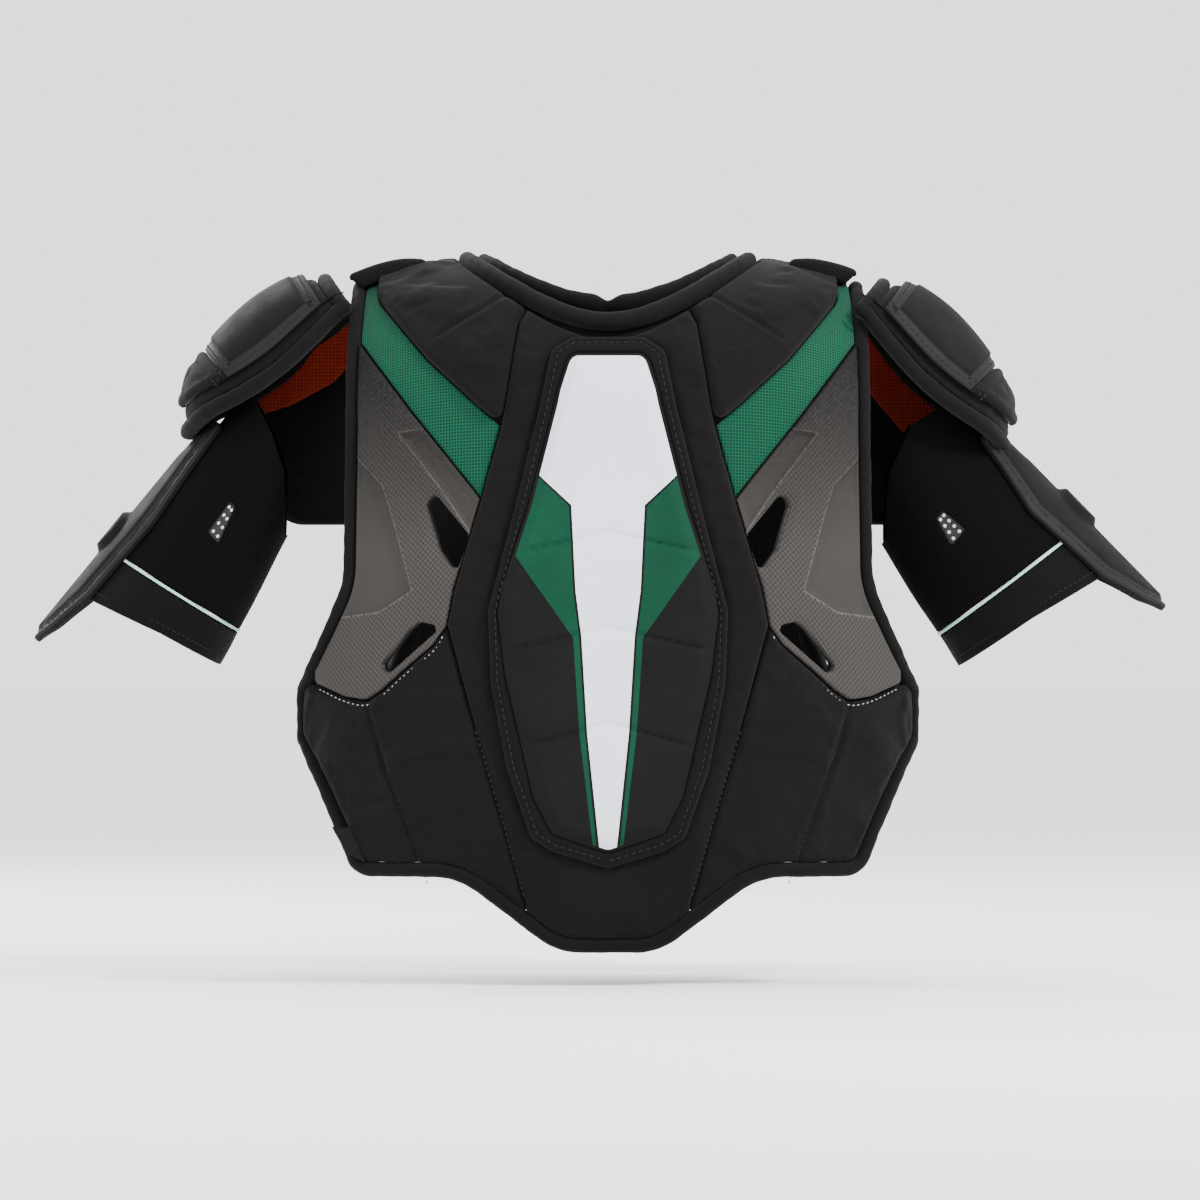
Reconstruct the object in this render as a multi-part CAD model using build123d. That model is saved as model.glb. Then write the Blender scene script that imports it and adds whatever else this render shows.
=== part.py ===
from build123d import *
import math
import os

# Ice hockey shoulder pads, worn by a torso that faces -Y, with +Z up and the
# wearer's left at +X. The origin is the centre of the neck opening, level with
# the shoulder seat. Millimetres throughout.
#
# Every panel of the torso is a layer between two lifts above one curved body
# surface, cut to an outline that is drawn in the XZ plane. The caps and the
# bicep guards are built the same way on their own arched surfaces.

# ---- torso surface -----------------------------------------------------------
HALF_GIRTH = 186.0       # half width where the body section would close
SQUARENESS = 2.6         # superellipse power of the body section
BACK_DEPTH = 92.0        # neck centre to the liner's inner face, at the back
CHEST_DEPTH = 98.0       # the same at the front
RIDGE_TOP = 18.0         # shoulder ridge height at the neck
RIDGE_FALL = 11.0        # how far the ridge falls by RIDGE_HALF
RIDGE_HALF = 142.0
SHOULDER_DROP = 80.0     # height over which the shoulder turns into the back
SHOULDER_ARC = 150.0     # surface length of that turn
TORSO_RUN = 345.0        # surface length below the turn
LUMBAR_TUCK = 0.12       # share of depth lost at the bottom
SURFACE_COLUMNS = 24
SURFACE_ROWS = 30
EDGE_ANGLE = 78.0        # the surface stops short of the closing line

# ---- layers, as lifts above the surface ---------------------------------------
GAP = 0.4
LINER = (0.0, 5.0)
LOW_PANEL = (5.4, 9.0)
PANEL = (5.4, 11.5)
PAD = (5.4, 14.5)
CENTRE_PAD = (5.4, 12.6)
FRAME = (13.0, 17.0)
FOAM = (13.0, 15.4)
PLATE = (15.8, 20.5)
BINDING = (-1.5, 12.5)
BINDING_WIDTH = 8.6
COLLAR_OUTER = (5.4, 17.5)
COLLAR_INNER = (-3.0, 16.0)
STERNUM_PLATE = (11.9, 16.5)
ANCHOR = (-2.6, -0.4)    # on the liner's inner face

# ---- neck opening, an ellipse seen from above ----------------------------------
NECK_HALF_WIDTH = 82.0
NECK_HALF_DEPTH = 76.0
NECK_CENTRE_Y = -4.0
COLLAR_WIDTH = 10.5
ROLL_WIDTH = 9.0
NOTCH = 7.0              # centre notch in the inner roll
COLLAR_START_Y = 1.0     # the rolls end just behind the ridge

STERNUM_INSET = 3.0      # foam shows this far round the sternum plate
FRONT_YOKE_REACH = 44.0  # the front yokes end this far ahead of the ridge

# ---- side strap ------------------------------------------------------------------
STRAP_TILT = 21.5        # the waist tapers, so flap and strap lean inward
STRAP_TOP_X = 186.05     # strap mid-plane at its upper edge
STRAP_TOP_Z = -268.0
STRAP_HEIGHT = 52.0
STRAP_THICK = 2.3
STRAP_REAR_Y = 36.0
STRAP_FRONT_Y = -50.0
FLAP_THICK = 4.0
FLAP_OUTER_X = 182.2
PATCH_THICK = 0.9

# ---- armpit pads, flat pads that hang in front of the arm holes ------------------
ARMPIT_REAR_Y = -64.5
ARMPIT_THICK = 7.0

# ---- shoulder caps -----------------------------------------------------------------
CAP_LENGTH = 130.0
CAP_HALF_DEPTH = 58.0
CAP_CREST = 23.0         # crest of the base surface above the hinge line
CAP_RIM = -8.0
CAP_RIM_DIP = 7.0
CAP_LINING = (-1.4, -0.3)
CAP_BASE = (0.0, 7.0)
CAP_SHELL = (7.4, 9.6)
CAP_COVER = (10.0, 14.0)
CAP_BINDING = (-2.0, 8.6)
CAP_BINDING_WIDTH = 8.0
# origin x, origin z and the run's angle below the horizontal, for each side
CAP_POSE = {"left": (163.0, 4.0, 37.3), "right": (157.0, 2.5, 43.0)}

LINK_U = 126.0           # link to the bicep guard, near the outer end
LINK_LOW = -17.0
LINK_THICK = 3.0
LINK_WIDTH = 26.0
LINK_CLEARANCE = 4.5     # below the crest of the base surface

# ---- shoulder tabs, from the yoke to each cap -------------------------------------------
TAB_START = (126.0, 26.8)
TAB_BEND = (141.0, 23.6)
TAB_SLOPE = -0.42
TAB_THICK = 1.6
TAB_WIDTH = 26.0
TAB_REAR_Y = 27.0        # the tabs lie behind the ridge, clear of the opening front
TAB_CLEARANCE = 3.5

# ---- bicep guards --------------------------------------------------------------------
PIPING_T = 87.0          # along the arm, from the guard's origin
CUFF_END = 113.0
SLEEVE_WALL = 3.0
GUARD_PLATE = (0.5, 6.5)
BOSS = (5.0, 11.0)       # moulded in one with the plate
# origin x, origin z, angle below horizontal, half width, centre offset, half depth
GUARD_POSE = {
    "left": (226.0, -100.0, 58.0, 37.0, -8.0, 52.0),
    "right": (207.7, -92.0, 53.0, 46.0, -17.0, 45.0),
}
GUARD_TOP = {"left": 10.0, "right": 30.0}      # upper outer edge of the sleeve
GUARD_FLARE = 0.10       # growth of the half width along the arm
GUARD_DRIFT = 0.03       # drift of the centre along the arm

REACH = 320.0
SIDES = {"left": 1, "right": -1}


def save(name, shape):
    """Write one named piece."""
    shape.label = name
    export_step(shape, "parts/" + name + ".step")


def lifted(surface, a, b, lift, outward):
    """Point at a lift above a surface, along its normal on the outward side."""
    step = 0.05
    across = surface(a + step, b) - surface(a - step, b)
    along = surface(a, b + step) - surface(a, b - step)
    normal = across.cross(along).normalized()
    if normal.dot(outward(a, b)) < 0:
        normal = normal * -1
    return surface(a, b) + normal * lift


def spread(low, high, count):
    """Evenly spaced values from low to high."""
    return [low + (high - low) * k / count for k in range(count + 1)]


def layer(surface, outward, columns, rows, lifts):
    """Solid between two lifts above a parametric surface."""
    low, high = lifts
    points = [[lifted(surface, a, b, low, outward) for b in rows] for a in columns]
    face = Face.make_surface_from_array_of_points(points, tol=0.02)
    middle = face.normal_at()
    probe = outward(columns[len(columns) // 2], rows[len(rows) // 2])
    thickness = high - low if middle.dot(probe) > 0 else low - high
    return Solid.thicken(face, thickness)


# ---- torso ------------------------------------------------------------------------------
def torso_point(x, v, side):
    """Body surface point, v running from the shoulder ridge down the back or chest."""
    depth = BACK_DEPTH if side > 0 else CHEST_DEPTH
    girth = (1 - abs(x / HALF_GIRTH) ** SQUARENESS) ** (1 / SQUARENESS)
    ridge = RIDGE_TOP - RIDGE_FALL * (x / RIDGE_HALF) ** 4
    turn = math.pi / 2 * min(v / SHOULDER_ARC, 1)
    run = max(0, v - SHOULDER_ARC)
    tuck = 1 - LUMBAR_TUCK * (run / TORSO_RUN) ** 2
    y = side * depth * math.sin(turn) * girth * tuck
    return Vector(x, y, ridge - SHOULDER_DROP * (1 - math.cos(turn)) - run)


TORSO_LAYERS = {}


def torso_layer(side, lifts):
    """Whole layer of the back (side 1) or chest (side -1), made once."""
    if (side, lifts) not in TORSO_LAYERS:
        angles = spread(-EDGE_ANGLE, EDGE_ANGLE, SURFACE_COLUMNS)
        columns = [HALF_GIRTH * math.sin(math.radians(a)) for a in angles]
        rows = spread(-40, SHOULDER_ARC + TORSO_RUN, SURFACE_ROWS)
        TORSO_LAYERS[side, lifts] = layer(
            lambda x, v: torso_point(x, v, side),
            lambda x, v: Vector(x * 0.3, side * max(v, 0), 60 - v * 0.3),
            columns, rows, lifts)
    return TORSO_LAYERS[side, lifts]


def outline(points):
    """Closed outline in the XZ plane; a point's third value rounds that corner."""
    corners = [(point[0], 0, point[1]) for point in points]
    radii = [point[2] if len(point) > 2 else 0 for point in points]
    if any(radii):
        return make_face(FilletPolyline(*corners, radius=radii, close=True))
    return make_face(Polyline(*corners, close=True))


def mirrored(points):
    """Full outline from its +X half, which starts and ends near the centre line."""
    return points + [(-point[0], *point[1:]) for point in reversed(points) if point[0] > 0]


def prism(face, side):
    """Outline extruded from the seam plane through the back or the chest."""
    start = Pos(0, side * GAP / 2, 0) * face
    return extrude(start, amount=REACH, dir=(0, side, 0))


def neck_prism(grow):
    """Vertical elliptical column through the neck opening, grown by a margin."""
    ellipse = Ellipse(NECK_HALF_WIDTH + grow, NECK_HALF_DEPTH + grow)
    return extrude(Pos(0, NECK_CENTRE_Y, -150) * ellipse, amount=300)


def single(shape):
    """The shape's only solid, or its largest one where an edge leaves a shaving."""
    return max(shape.solids(), key=lambda s: s.volume)


def panel(side, lifts, face, field, holes=()):
    """Layer cut to its own outline, inside the binding and outside the neck."""
    body = torso_layer(side, lifts) & prism(face, side) & prism(field, side)
    body = body - neck_prism(COLLAR_WIDTH + GAP)
    for hole in holes:
        body = body - prism(hole, side)
    return single(body)


# ---- back outlines ------------------------------------------------------------------------
# straight armholes, flared wings and a pointed tail
BACK_EDGE = [(154, 60), (157.5, -171, 60), (188.5, -252, 15), (152, -351, 15),
             (91, -351, 45), (31, -397, 42)]
COFFIN = [(0, -9), (48, -9), (54, -19), (64, -75), (76, -119), (92, -174), (96.4, -197),
          (79.5, -261), (65, -311), (50, -366), (46, -400), (0, -400)]
FRAME_OUTER = [(0, -28.5), (21.5, -28.5), (34, -35), (40, -60), (56, -127), (68, -174),
               (71.5, -188), (70, -232), (60.4, -285), (46, -327), (33, -335), (0, -345)]
PLATE_OUTER = [(0, -37), (23.5, -37), (30.5, -55), (48, -125), (64, -175), (66, -190),
               (61.5, -228), (45, -302), (34, -324), (0, -336)]
YOKE = [(49, 60), (49, -9), (54.8, -19), (64.8, -75), (108, -38), (138, -4), (141, 60)]
INSERT = [(141.6, 60), (138.6, -4.6), (108.4, -38.6), (65.2, -75.8), (76.6, -119.5),
          (150, -25), (150, 60)]
SCAPULA = [(150, -26.5), (77, -120.4), (92.6, -174), (97, -197.5), (105, -209),
           (122.6, -224.5), (135.6, -237), (144, -243), (156, -241), (172, -233), (172, -100)]
WING = [(97, -199), (105, -210.2), (122.2, -225.8), (135, -238.2), (144, -244.6),
        (156, -242.4), (186, -230), (190, -400), (46.6, -400), (50.6, -366),
        (65.6, -311), (80.1, -261)]
UPPER_WINDOW = [(104, -116), (109, -124), (101, -152), (91, -166), (83, -142.5)]
LOWER_WINDOW = [(99.5, -198), (113, -195), (119, -200), (135, -221), (133, -229)]


def make_back():
    """Liner, panels, spine assembly, collar and binding of the back."""
    silhouette = outline(mirrored(BACK_EDGE))
    field = offset(silhouette, amount=-BINDING_WIDTH - GAP)
    windows = [outline(UPPER_WINDOW), outline(LOWER_WINDOW)]
    windows += [mirror(window, Plane.YZ) for window in windows]
    liner = torso_layer(1, LINER) & prism(field, 1)
    liner = liner - neck_prism(0)
    for window in windows:
        liner = liner - prism(window, 1)
    save("back_liner", single(liner))
    ring = prism(silhouette, 1) - prism(offset(silhouette, amount=-BINDING_WIDTH), 1)
    save("back_binding", single(torso_layer(1, BINDING) & ring))

    for name, sign in SIDES.items():
        def place(points):
            return outline([(sign * point[0], *point[1:]) for point in points])

        holes = [place(UPPER_WINDOW), place(LOWER_WINDOW)]
        save("yoke_pad_" + name, panel(1, PAD, place(YOKE), field))
        save("mesh_insert_" + name, panel(1, LOW_PANEL, place(INSERT), field))
        save("scapula_plate_" + name, panel(1, PANEL, place(SCAPULA), field, holes))
        save("back_wing_" + name, panel(1, PANEL, place(WING), field))

    save("centre_back_pad", panel(1, CENTRE_PAD, outline(mirrored(COFFIN)), field))
    plate_face = outline(mirrored(PLATE_OUTER))
    opening = offset(plate_face, amount=GAP)
    save("spine_frame", panel(1, FRAME, outline(mirrored(FRAME_OUTER)), field, [opening]))
    save("spine_foam", panel(1, FOAM, plate_face, field))
    save("spine_plate", panel(1, PLATE, plate_face, field))


def make_collar():
    """Two rolls round the back of the neck; the inner one is notched at the centre."""
    half_space = extrude(Pos(0, COLLAR_START_Y, 0) * outline([(-120, 80), (120, 80), (120, -80), (-120, -80)]),
                         amount=200, dir=(0, 1, 0))
    outer = torso_layer(1, COLLAR_OUTER) & half_space
    outer = (outer & neck_prism(COLLAR_WIDTH)) - neck_prism(0)
    save("collar_outer_roll", single(outer))
    inner = torso_layer(1, COLLAR_INNER) & half_space
    inner = (inner & neck_prism(-GAP)) - neck_prism(-ROLL_WIDTH)
    notch = outline([(-NOTCH, 40), (NOTCH, 40), (0, -5)])
    save("collar_inner_roll", single(inner - prism(notch, 1)))


# ---- chest outlines ----------------------------------------------------------------------
# cut-in armholes, a V neck and a curved hem
CHEST_EDGE = [(0, -66), (60, -8), (60, 60), (146, 60), (146, -28, 30), (127, -90, 60),
              (127, -200, 60), (150, -262, 18), (143, -315, 14), (40, -338, 60)]
STERNUM = [(0, -84), (20, -80), (38, -92), (46, -130), (40, -190), (22, -232), (0, -240)]
PEC = [(50, -66), (70, -56), (126, -56), (124, -120), (116, -170), (96, -196), (47, -190),
       (53, -130)]
COLLARBONE = [(62, -6), (68, -54), (140, -54), (140, -16), (66, 0)]
ARMPIT = [(148, -38), (186, -42, 14), (198, -134, 18), (158, -134, 18), (128, -84), (139, -52)]
BELLY = [(0, -244), (24, -237), (44, -196), (96, -200), (118, -178), (150, -250),
         (150, -360), (0, -360)]


def make_chest():
    """Liner, hard plates, pads and binding of the front, which hinges at the shoulders."""
    silhouette = outline(mirrored(CHEST_EDGE))
    field = offset(silhouette, amount=-BINDING_WIDTH - GAP)
    liner = (torso_layer(-1, LINER) & prism(field, -1)) - neck_prism(0)
    save("chest_liner", single(liner))
    ring = prism(silhouette, -1) - prism(offset(silhouette, amount=-BINDING_WIDTH), -1)
    save("chest_binding", single((torso_layer(-1, BINDING) & ring) - neck_prism(0)))

    sternum_face = outline(mirrored(STERNUM))
    save("sternum_foam", panel(-1, PANEL, sternum_face, field))
    save("sternum_plate", panel(-1, STERNUM_PLATE, offset(sternum_face, amount=-STERNUM_INSET), field))
    save("belly_pad", panel(-1, PANEL, outline(mirrored(BELLY)), field))
    shoulder = Box(2 * REACH, 2 * FRONT_YOKE_REACH, REACH)
    ahead = Box(2 * REACH, 2 * (FRONT_YOKE_REACH + GAP), REACH)
    for name, sign in SIDES.items():
        def place(points):
            return outline([(sign * point[0], *point[1:]) for point in points])

        save("pec_plate_" + name, panel(-1, PANEL, place(PEC), field))
        collarbone = panel(-1, PANEL, place(COLLARBONE), field)
        save("collarbone_pad_" + name, single(collarbone - ahead))
        block = place([(60, 60), (60, -60), (146, -60), (146, 60)])
        save("front_yoke_" + name, single(panel(-1, PAD, block, field) & shoulder))
        start = Pos(0, ARMPIT_REAR_Y, 0) * place(ARMPIT)
        pad = extrude(start, amount=ARMPIT_THICK, dir=(0, -1, 0))
        save("armpit_pad_" + name, pad)


# ---- side straps ----------------------------------------------------------------------------
ANCHOR_OUTLINE = [(140, -276), (166, -276), (156, -312), (140, -312)]


def leaned(shape, sign):
    """Lean a piece that was drawn upright so that it follows the tapered waist."""
    pivot = Pos(STRAP_TOP_X, 0, STRAP_TOP_Z)
    lean = pivot * Rot(0, STRAP_TILT, 0) * pivot.inverse() * shape
    return lean if sign > 0 else mirror(lean, Plane.YZ)


def upright_box(x_inner, x_outer, y_rear, y_front, inset=0.0):
    """Upright slab between two x and two y values, within the strap's height."""
    box = Box(x_outer - x_inner, y_rear - y_front, STRAP_HEIGHT - 2 * inset)
    x = (x_inner + x_outer) / 2
    return Pos(x, (y_rear + y_front) / 2, STRAP_TOP_Z - STRAP_HEIGHT / 2) * box


def make_side_straps():
    """Chest flaps, elastic straps with their hook patches, and sewn anchors."""
    anchors = []
    for name, sign in SIDES.items():
        middle = FLAP_OUTER_X - FLAP_THICK / 2
        line = FilletPolyline((middle, 2, 0), (middle, -88, 0), (124, -97, 0), radius=38)
        across = Plane(origin=line @ 0, z_dir=line % 0)
        section = across * Rectangle(FLAP_THICK, STRAP_HEIGHT)
        flap = sweep(section, path=line)
        save("chest_flap_" + name,
             leaned(Pos(0, 0, STRAP_TOP_Z - STRAP_HEIGHT / 2) * flap, sign))
        inner = STRAP_TOP_X - STRAP_THICK / 2
        strap = upright_box(inner, inner + STRAP_THICK, STRAP_REAR_Y, STRAP_FRONT_Y)
        save("side_strap_" + name, leaned(strap, sign))
        hook = upright_box(inner - 0.1 - PATCH_THICK, inner - 0.1, -10, -46, 6)
        save("strap_hook_" + name, leaned(hook, sign))
        tab = outline([(sign * x, z) for x, z in ANCHOR_OUTLINE])
        anchors.append(single(torso_layer(1, ANCHOR) & prism(tab, 1)))
    save("strap_anchors", Compound(children=anchors))


# ---- shoulder caps ---------------------------------------------------------------------------
def cap_local(u, angle):
    """Arched dome in its own frame: x along the run, y front to back, z to the crest."""
    rise = CAP_CREST * (1 - abs((u - 62) / 76) ** 3)
    rim = CAP_RIM - CAP_RIM_DIP * math.sin(math.pi * u / CAP_LENGTH)
    depth = CAP_HALF_DEPTH * math.sqrt(1 - abs((u - 55) / 86) ** 4)
    arch = math.radians(angle)
    return Vector(u, depth * math.sin(arch), rim + (rise - rim) * math.cos(arch))


def cap_layer(lifts):
    """Whole layer of the dome, in the cap's own frame."""
    return layer(cap_local, lambda u, a: Vector(0, a, 60),
                 spread(-3, CAP_LENGTH + 3, 20), spread(-88, 88, 20), lifts)


def cap_plan(inset):
    """The cap seen along its crest direction: straight inner end, rounded outer end."""
    depth = CAP_HALF_DEPTH + 4 - inset
    end = CAP_LENGTH - inset
    start = inset if inset > 0 else 0
    side = Spline((start, depth - 4, 0), (56, depth, 0), (104, depth * 0.82, 0), (end, 0, 0),
                  tangents=[(1, 0, 0), (0, -1, 0)])
    inner_end = Line((start, 0, 0), (start, depth - 4, 0))
    half = Curve() + [inner_end, side]
    face = make_face(side + inner_end + mirror(half, Plane.XZ))
    return extrude(Pos(0, 0, -80) * face, amount=200)


def cap_placed(shape, name):
    """Cap piece turned down along its run and moved to its shoulder."""
    x, z, angle = CAP_POSE[name]
    placed = Pos(x, 0, z) * Rot(0, angle, 0) * shape
    return placed if name == "left" else mirror(placed, Plane.YZ)


def make_caps():
    """Lining, base pad, hard shell, two covers, binding and the link to the guard."""
    whole = cap_plan(0)
    inside = cap_plan(CAP_BINDING_WIDTH + GAP)
    rim = whole - cap_plan(CAP_BINDING_WIDTH)
    crest = cap_plan(14)
    upper = Pos(49, 0, 0) * Box(70, 200, 300)
    lower = Pos(105, 0, 0) * Box(40, 200, 300)
    pieces = {
        "cap_lining_": cap_layer(CAP_LINING) & inside,
        "cap_base_": cap_layer(CAP_BASE) & inside,
        "cap_binding_": cap_layer(CAP_BINDING) & rim,
        "cap_shell_": cap_layer(CAP_SHELL) & cap_plan(17),
        "cap_upper_cover_": cap_layer(CAP_COVER) & crest & upper,
        "cap_lower_cover_": cap_layer(CAP_COVER) & crest & lower,
    }
    link_top = cap_local(LINK_U, 0).Z - LINK_CLEARANCE
    link = Box(LINK_THICK, LINK_WIDTH, link_top - LINK_LOW)
    pieces["bicep_link_"] = Pos(LINK_U, 0, (LINK_LOW + link_top) / 2) * link
    for name in SIDES:
        for piece, shape in pieces.items():
            save(piece + name, cap_placed(single(shape), name))


def make_shoulder_tabs():
    """Woven tabs that run from the yokes to the inner ends of the caps."""
    tabs = []
    for name, sign in SIDES.items():
        end = CAP_POSE[name][0] - TAB_CLEARANCE
        drop = TAB_BEND[1] + (end - TAB_BEND[0]) * TAB_SLOPE
        lower = [TAB_START, TAB_BEND, (end, drop)]
        upper = [(x, z + TAB_THICK) for x, z in reversed(lower)]
        face = outline([(sign * x, z) for x, z in lower + upper])
        tabs.append(extrude(Pos(0, TAB_REAR_Y, 0) * face, amount=TAB_WIDTH, dir=(0, -1, 0)))
    save("shoulder_tabs", Compound(children=[single(tab) for tab in tabs]))


# ---- bicep guards -----------------------------------------------------------------------------
def guard_section(name, t, lift):
    """Ellipse across the arm, t along it, in the guard's own frame."""
    half, centre, depth = GUARD_POSE[name][3:]
    width = half + GUARD_FLARE * t + lift
    plane = Plane(origin=(t, 0, centre + GUARD_DRIFT * t), x_dir=(0, 0, 1), z_dir=(1, 0, 0))
    return plane * Ellipse(width, depth + 0.08 * t + lift)


def guard_tube(name, start, end, low, high):
    """Tapered tube between two lifts."""
    outer = loft([guard_section(name, start, high), guard_section(name, end, high)])
    inner = loft([guard_section(name, start - 1, low), guard_section(name, end + 1, low)])
    return outer - inner


def guard_side(points):
    """Outline in the guard's (along, across) plane, cut through front to back."""
    face = make_face(Polyline(*[(t, -110, p) for t, p in points], close=True))
    return extrude(face, amount=220, dir=(0, 1, 0))


def guard_plan(points):
    """Outline in the guard's (along, front to back) plane, on the outer side only."""
    face = make_face(Polyline(*[(t, y, 4) for t, y in points], close=True))
    return extrude(face, amount=120, dir=(0, 0, 1))


def guard_placed(shape, name):
    """Guard piece turned down along the arm and moved to its place."""
    x, z, angle = GUARD_POSE[name][:3]
    placed = Pos(x, 0, z) * Rot(0, angle, 0) * shape
    return placed if name == "left" else mirror(placed, Plane.YZ)


def make_guards():
    """Mesh sleeve, cuff, piping and the outer plate with its moulded boss."""
    for name in SIDES:
        half = GUARD_POSE[name][3]
        inner = GUARD_POSE[name][4] - half
        sleeve = guard_tube(name, -24, PIPING_T - 1.4, -SLEEVE_WALL, 0)
        top = GUARD_TOP[name]
        armpit = [(100, 70), (top, 70), (top - 6, 22), (-22, -6), (-12, inner * 0.55),
                  (21, inner), (24, -110), (100, -110)]
        save("bicep_sleeve_" + name, guard_placed(single(sleeve & guard_side(armpit)), name))
        piping = guard_tube(name, PIPING_T - 1.2, PIPING_T + 1.2, -SLEEVE_WALL - 0.4, 0.4)
        save("bicep_piping_" + name, guard_placed(single(piping), name))
        cuff = guard_tube(name, PIPING_T + 1.4, CUFF_END + 12, -SLEEVE_WALL - 1, 0)
        hem = [(80, 90), (CUFF_END + 12, 90), (CUFF_END, inner * 0.3), (CUFF_END - 4, -110),
               (80, -110)]
        save("bicep_cuff_" + name, guard_placed(single(cuff & guard_side(hem)), name))
        plate = guard_tube(name, top + 4, 160, *GUARD_PLATE)
        shape = mirrored_plan([(top + 5, 30), (60, 40), (120, 38), (146, 26), (157, 8)])
        boss = guard_tube(name, 62, 92, *BOSS)
        pad = mirrored_plan([(64, 9), (70, 14), (84, 14), (90, 9)])
        moulded = (plate & guard_plan(shape)) + (boss & guard_plan(pad))
        save("bicep_plate_" + name, guard_placed(single(moulded), name))


def mirrored_plan(points):
    """Full plan outline from its +Y half."""
    return points + [(t, -y) for t, y in reversed(points)]


make_back()
make_collar()
make_chest()
make_side_straps()
make_caps()
make_shoulder_tabs()
make_guards()
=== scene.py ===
import math

import bpy
import numpy as np
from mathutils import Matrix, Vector, kdtree
from mathutils.geometry import delaunay_2d_cdt


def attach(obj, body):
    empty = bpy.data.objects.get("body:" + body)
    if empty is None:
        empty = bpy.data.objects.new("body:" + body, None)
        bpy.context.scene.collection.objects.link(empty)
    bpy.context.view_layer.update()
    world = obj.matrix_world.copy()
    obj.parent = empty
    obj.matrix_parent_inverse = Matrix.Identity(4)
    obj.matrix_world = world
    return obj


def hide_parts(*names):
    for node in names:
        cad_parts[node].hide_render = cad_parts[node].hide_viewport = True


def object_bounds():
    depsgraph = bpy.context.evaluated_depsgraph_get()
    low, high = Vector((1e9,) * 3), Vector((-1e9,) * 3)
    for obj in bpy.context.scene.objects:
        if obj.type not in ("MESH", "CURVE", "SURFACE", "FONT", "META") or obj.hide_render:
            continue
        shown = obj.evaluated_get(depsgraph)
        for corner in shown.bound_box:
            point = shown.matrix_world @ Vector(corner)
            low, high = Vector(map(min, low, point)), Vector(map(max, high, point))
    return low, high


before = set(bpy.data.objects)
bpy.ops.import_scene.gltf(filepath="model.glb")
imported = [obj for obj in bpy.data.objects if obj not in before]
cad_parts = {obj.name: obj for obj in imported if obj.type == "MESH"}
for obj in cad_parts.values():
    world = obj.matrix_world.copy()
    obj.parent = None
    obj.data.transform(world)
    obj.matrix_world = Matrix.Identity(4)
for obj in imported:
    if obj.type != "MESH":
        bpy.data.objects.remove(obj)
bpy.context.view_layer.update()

# Sizes below are millimetres in the part's frame; MM turns them into metres.
MM = 0.001
SIDES = {"left": 1, "right": -1}
rng = np.random.default_rng(11)

# ---- base surfaces: the torso and the guards as in the frame, the caps with deeper padding --------
HALF_GIRTH = 186.0
SQUARENESS = 2.6
DEPTH = {1: 92.0, -1: 98.0}            # back, chest
RIDGE_TOP, RIDGE_FALL, RIDGE_HALF = 18.0, 11.0, 142.0
SHOULDER_DROP, SHOULDER_ARC, TORSO_RUN = 80.0, 150.0, 345.0
LUMBAR_TUCK = 0.12
EDGE_SHARE = math.sin(math.radians(78))   # the surface stops short of its closing line
NECK_HALF_WIDTH, NECK_HALF_DEPTH, NECK_CENTRE_Y = 82.0, 76.0, -4.0
CAP_LENGTH, CAP_HALF_DEPTH, CAP_CREST, CAP_RIM, CAP_RIM_DIP = 130.0, 58.0, 23.0, -14.0, 9.0
CAP_DROOP = 22.0                         # how far the padded outer end hangs past the shell's line
CAP_GIRTH = 80.0                       # arc length from crest to rim
CAP_POSE = {"left": (163.0, 4.0, 37.3), "right": (157.0, 2.5, 43.0)}
GUARD_POSE = {"left": (226.0, -100.0, 58.0, 37.0, -8.0, 52.0),
              "right": (207.7, -92.0, 53.0, 46.0, -17.0, 45.0)}
GUARD_TOP = {"left": 10.0, "right": 30.0}
GUARD_FLARE, GUARD_DRIFT, GUARD_SWELL = 0.10, 0.03, 0.08
GUARD_GIRTH = 48.0                     # arc length per radian round the sleeve
PIPING_T = 87.0
CUFF_END = 113.0


class Surface:
    """A curved base surface: its point function of (a, b) and the side its outside is on."""

    def __init__(self, point, outside, probe=(1.0, 1.0)):
        self.point = point
        a, b = np.array([probe[0]]), np.array([probe[1]])
        self.outside = 1
        self.outside = 1 if float(self.normal(a, b)[0] @ np.asarray(outside, float)) > 0 else -1
        self.flips = self.outside < 0

    def normal(self, a, b):
        step = 0.05
        across = self.point(a + step, b) - self.point(a - step, b)
        along = self.point(a, b + step) - self.point(a, b - step)
        normal = np.cross(across, along)
        return self.outside * normal / np.linalg.norm(normal, axis=1)[:, None]

    def lifted(self, a, b, lift):
        return self.point(a, b) + self.normal(a, b) * np.reshape(lift, (-1, 1))


def ridge_height(x):
    return RIDGE_TOP - RIDGE_FALL * (x / RIDGE_HALF) ** 4


def torso_surface(side):
    """a is an arc-like distance round the body, b runs from the ridge down."""
    def point(a, b):
        x = HALF_GIRTH * np.sin(a / HALF_GIRTH)
        share = np.clip(np.abs(x) / HALF_GIRTH, 0, 0.9995)
        girth = (1 - share ** SQUARENESS) ** (1 / SQUARENESS)
        turn = math.pi / 2 * np.minimum(b / SHOULDER_ARC, 1)
        run = np.maximum(0, b - SHOULDER_ARC)
        tuck = 1 - LUMBAR_TUCK * (run / TORSO_RUN) ** 2
        y = side * DEPTH[side] * np.sin(turn) * girth * tuck
        z = ridge_height(x) - SHOULDER_DROP * (1 - np.cos(turn)) - run
        return np.stack([x, y, z], axis=1)
    return Surface(point, (0, side, 0), (1.0, SHOULDER_ARC))


TORSO = {side: torso_surface(side) for side in (1, -1)}


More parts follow.
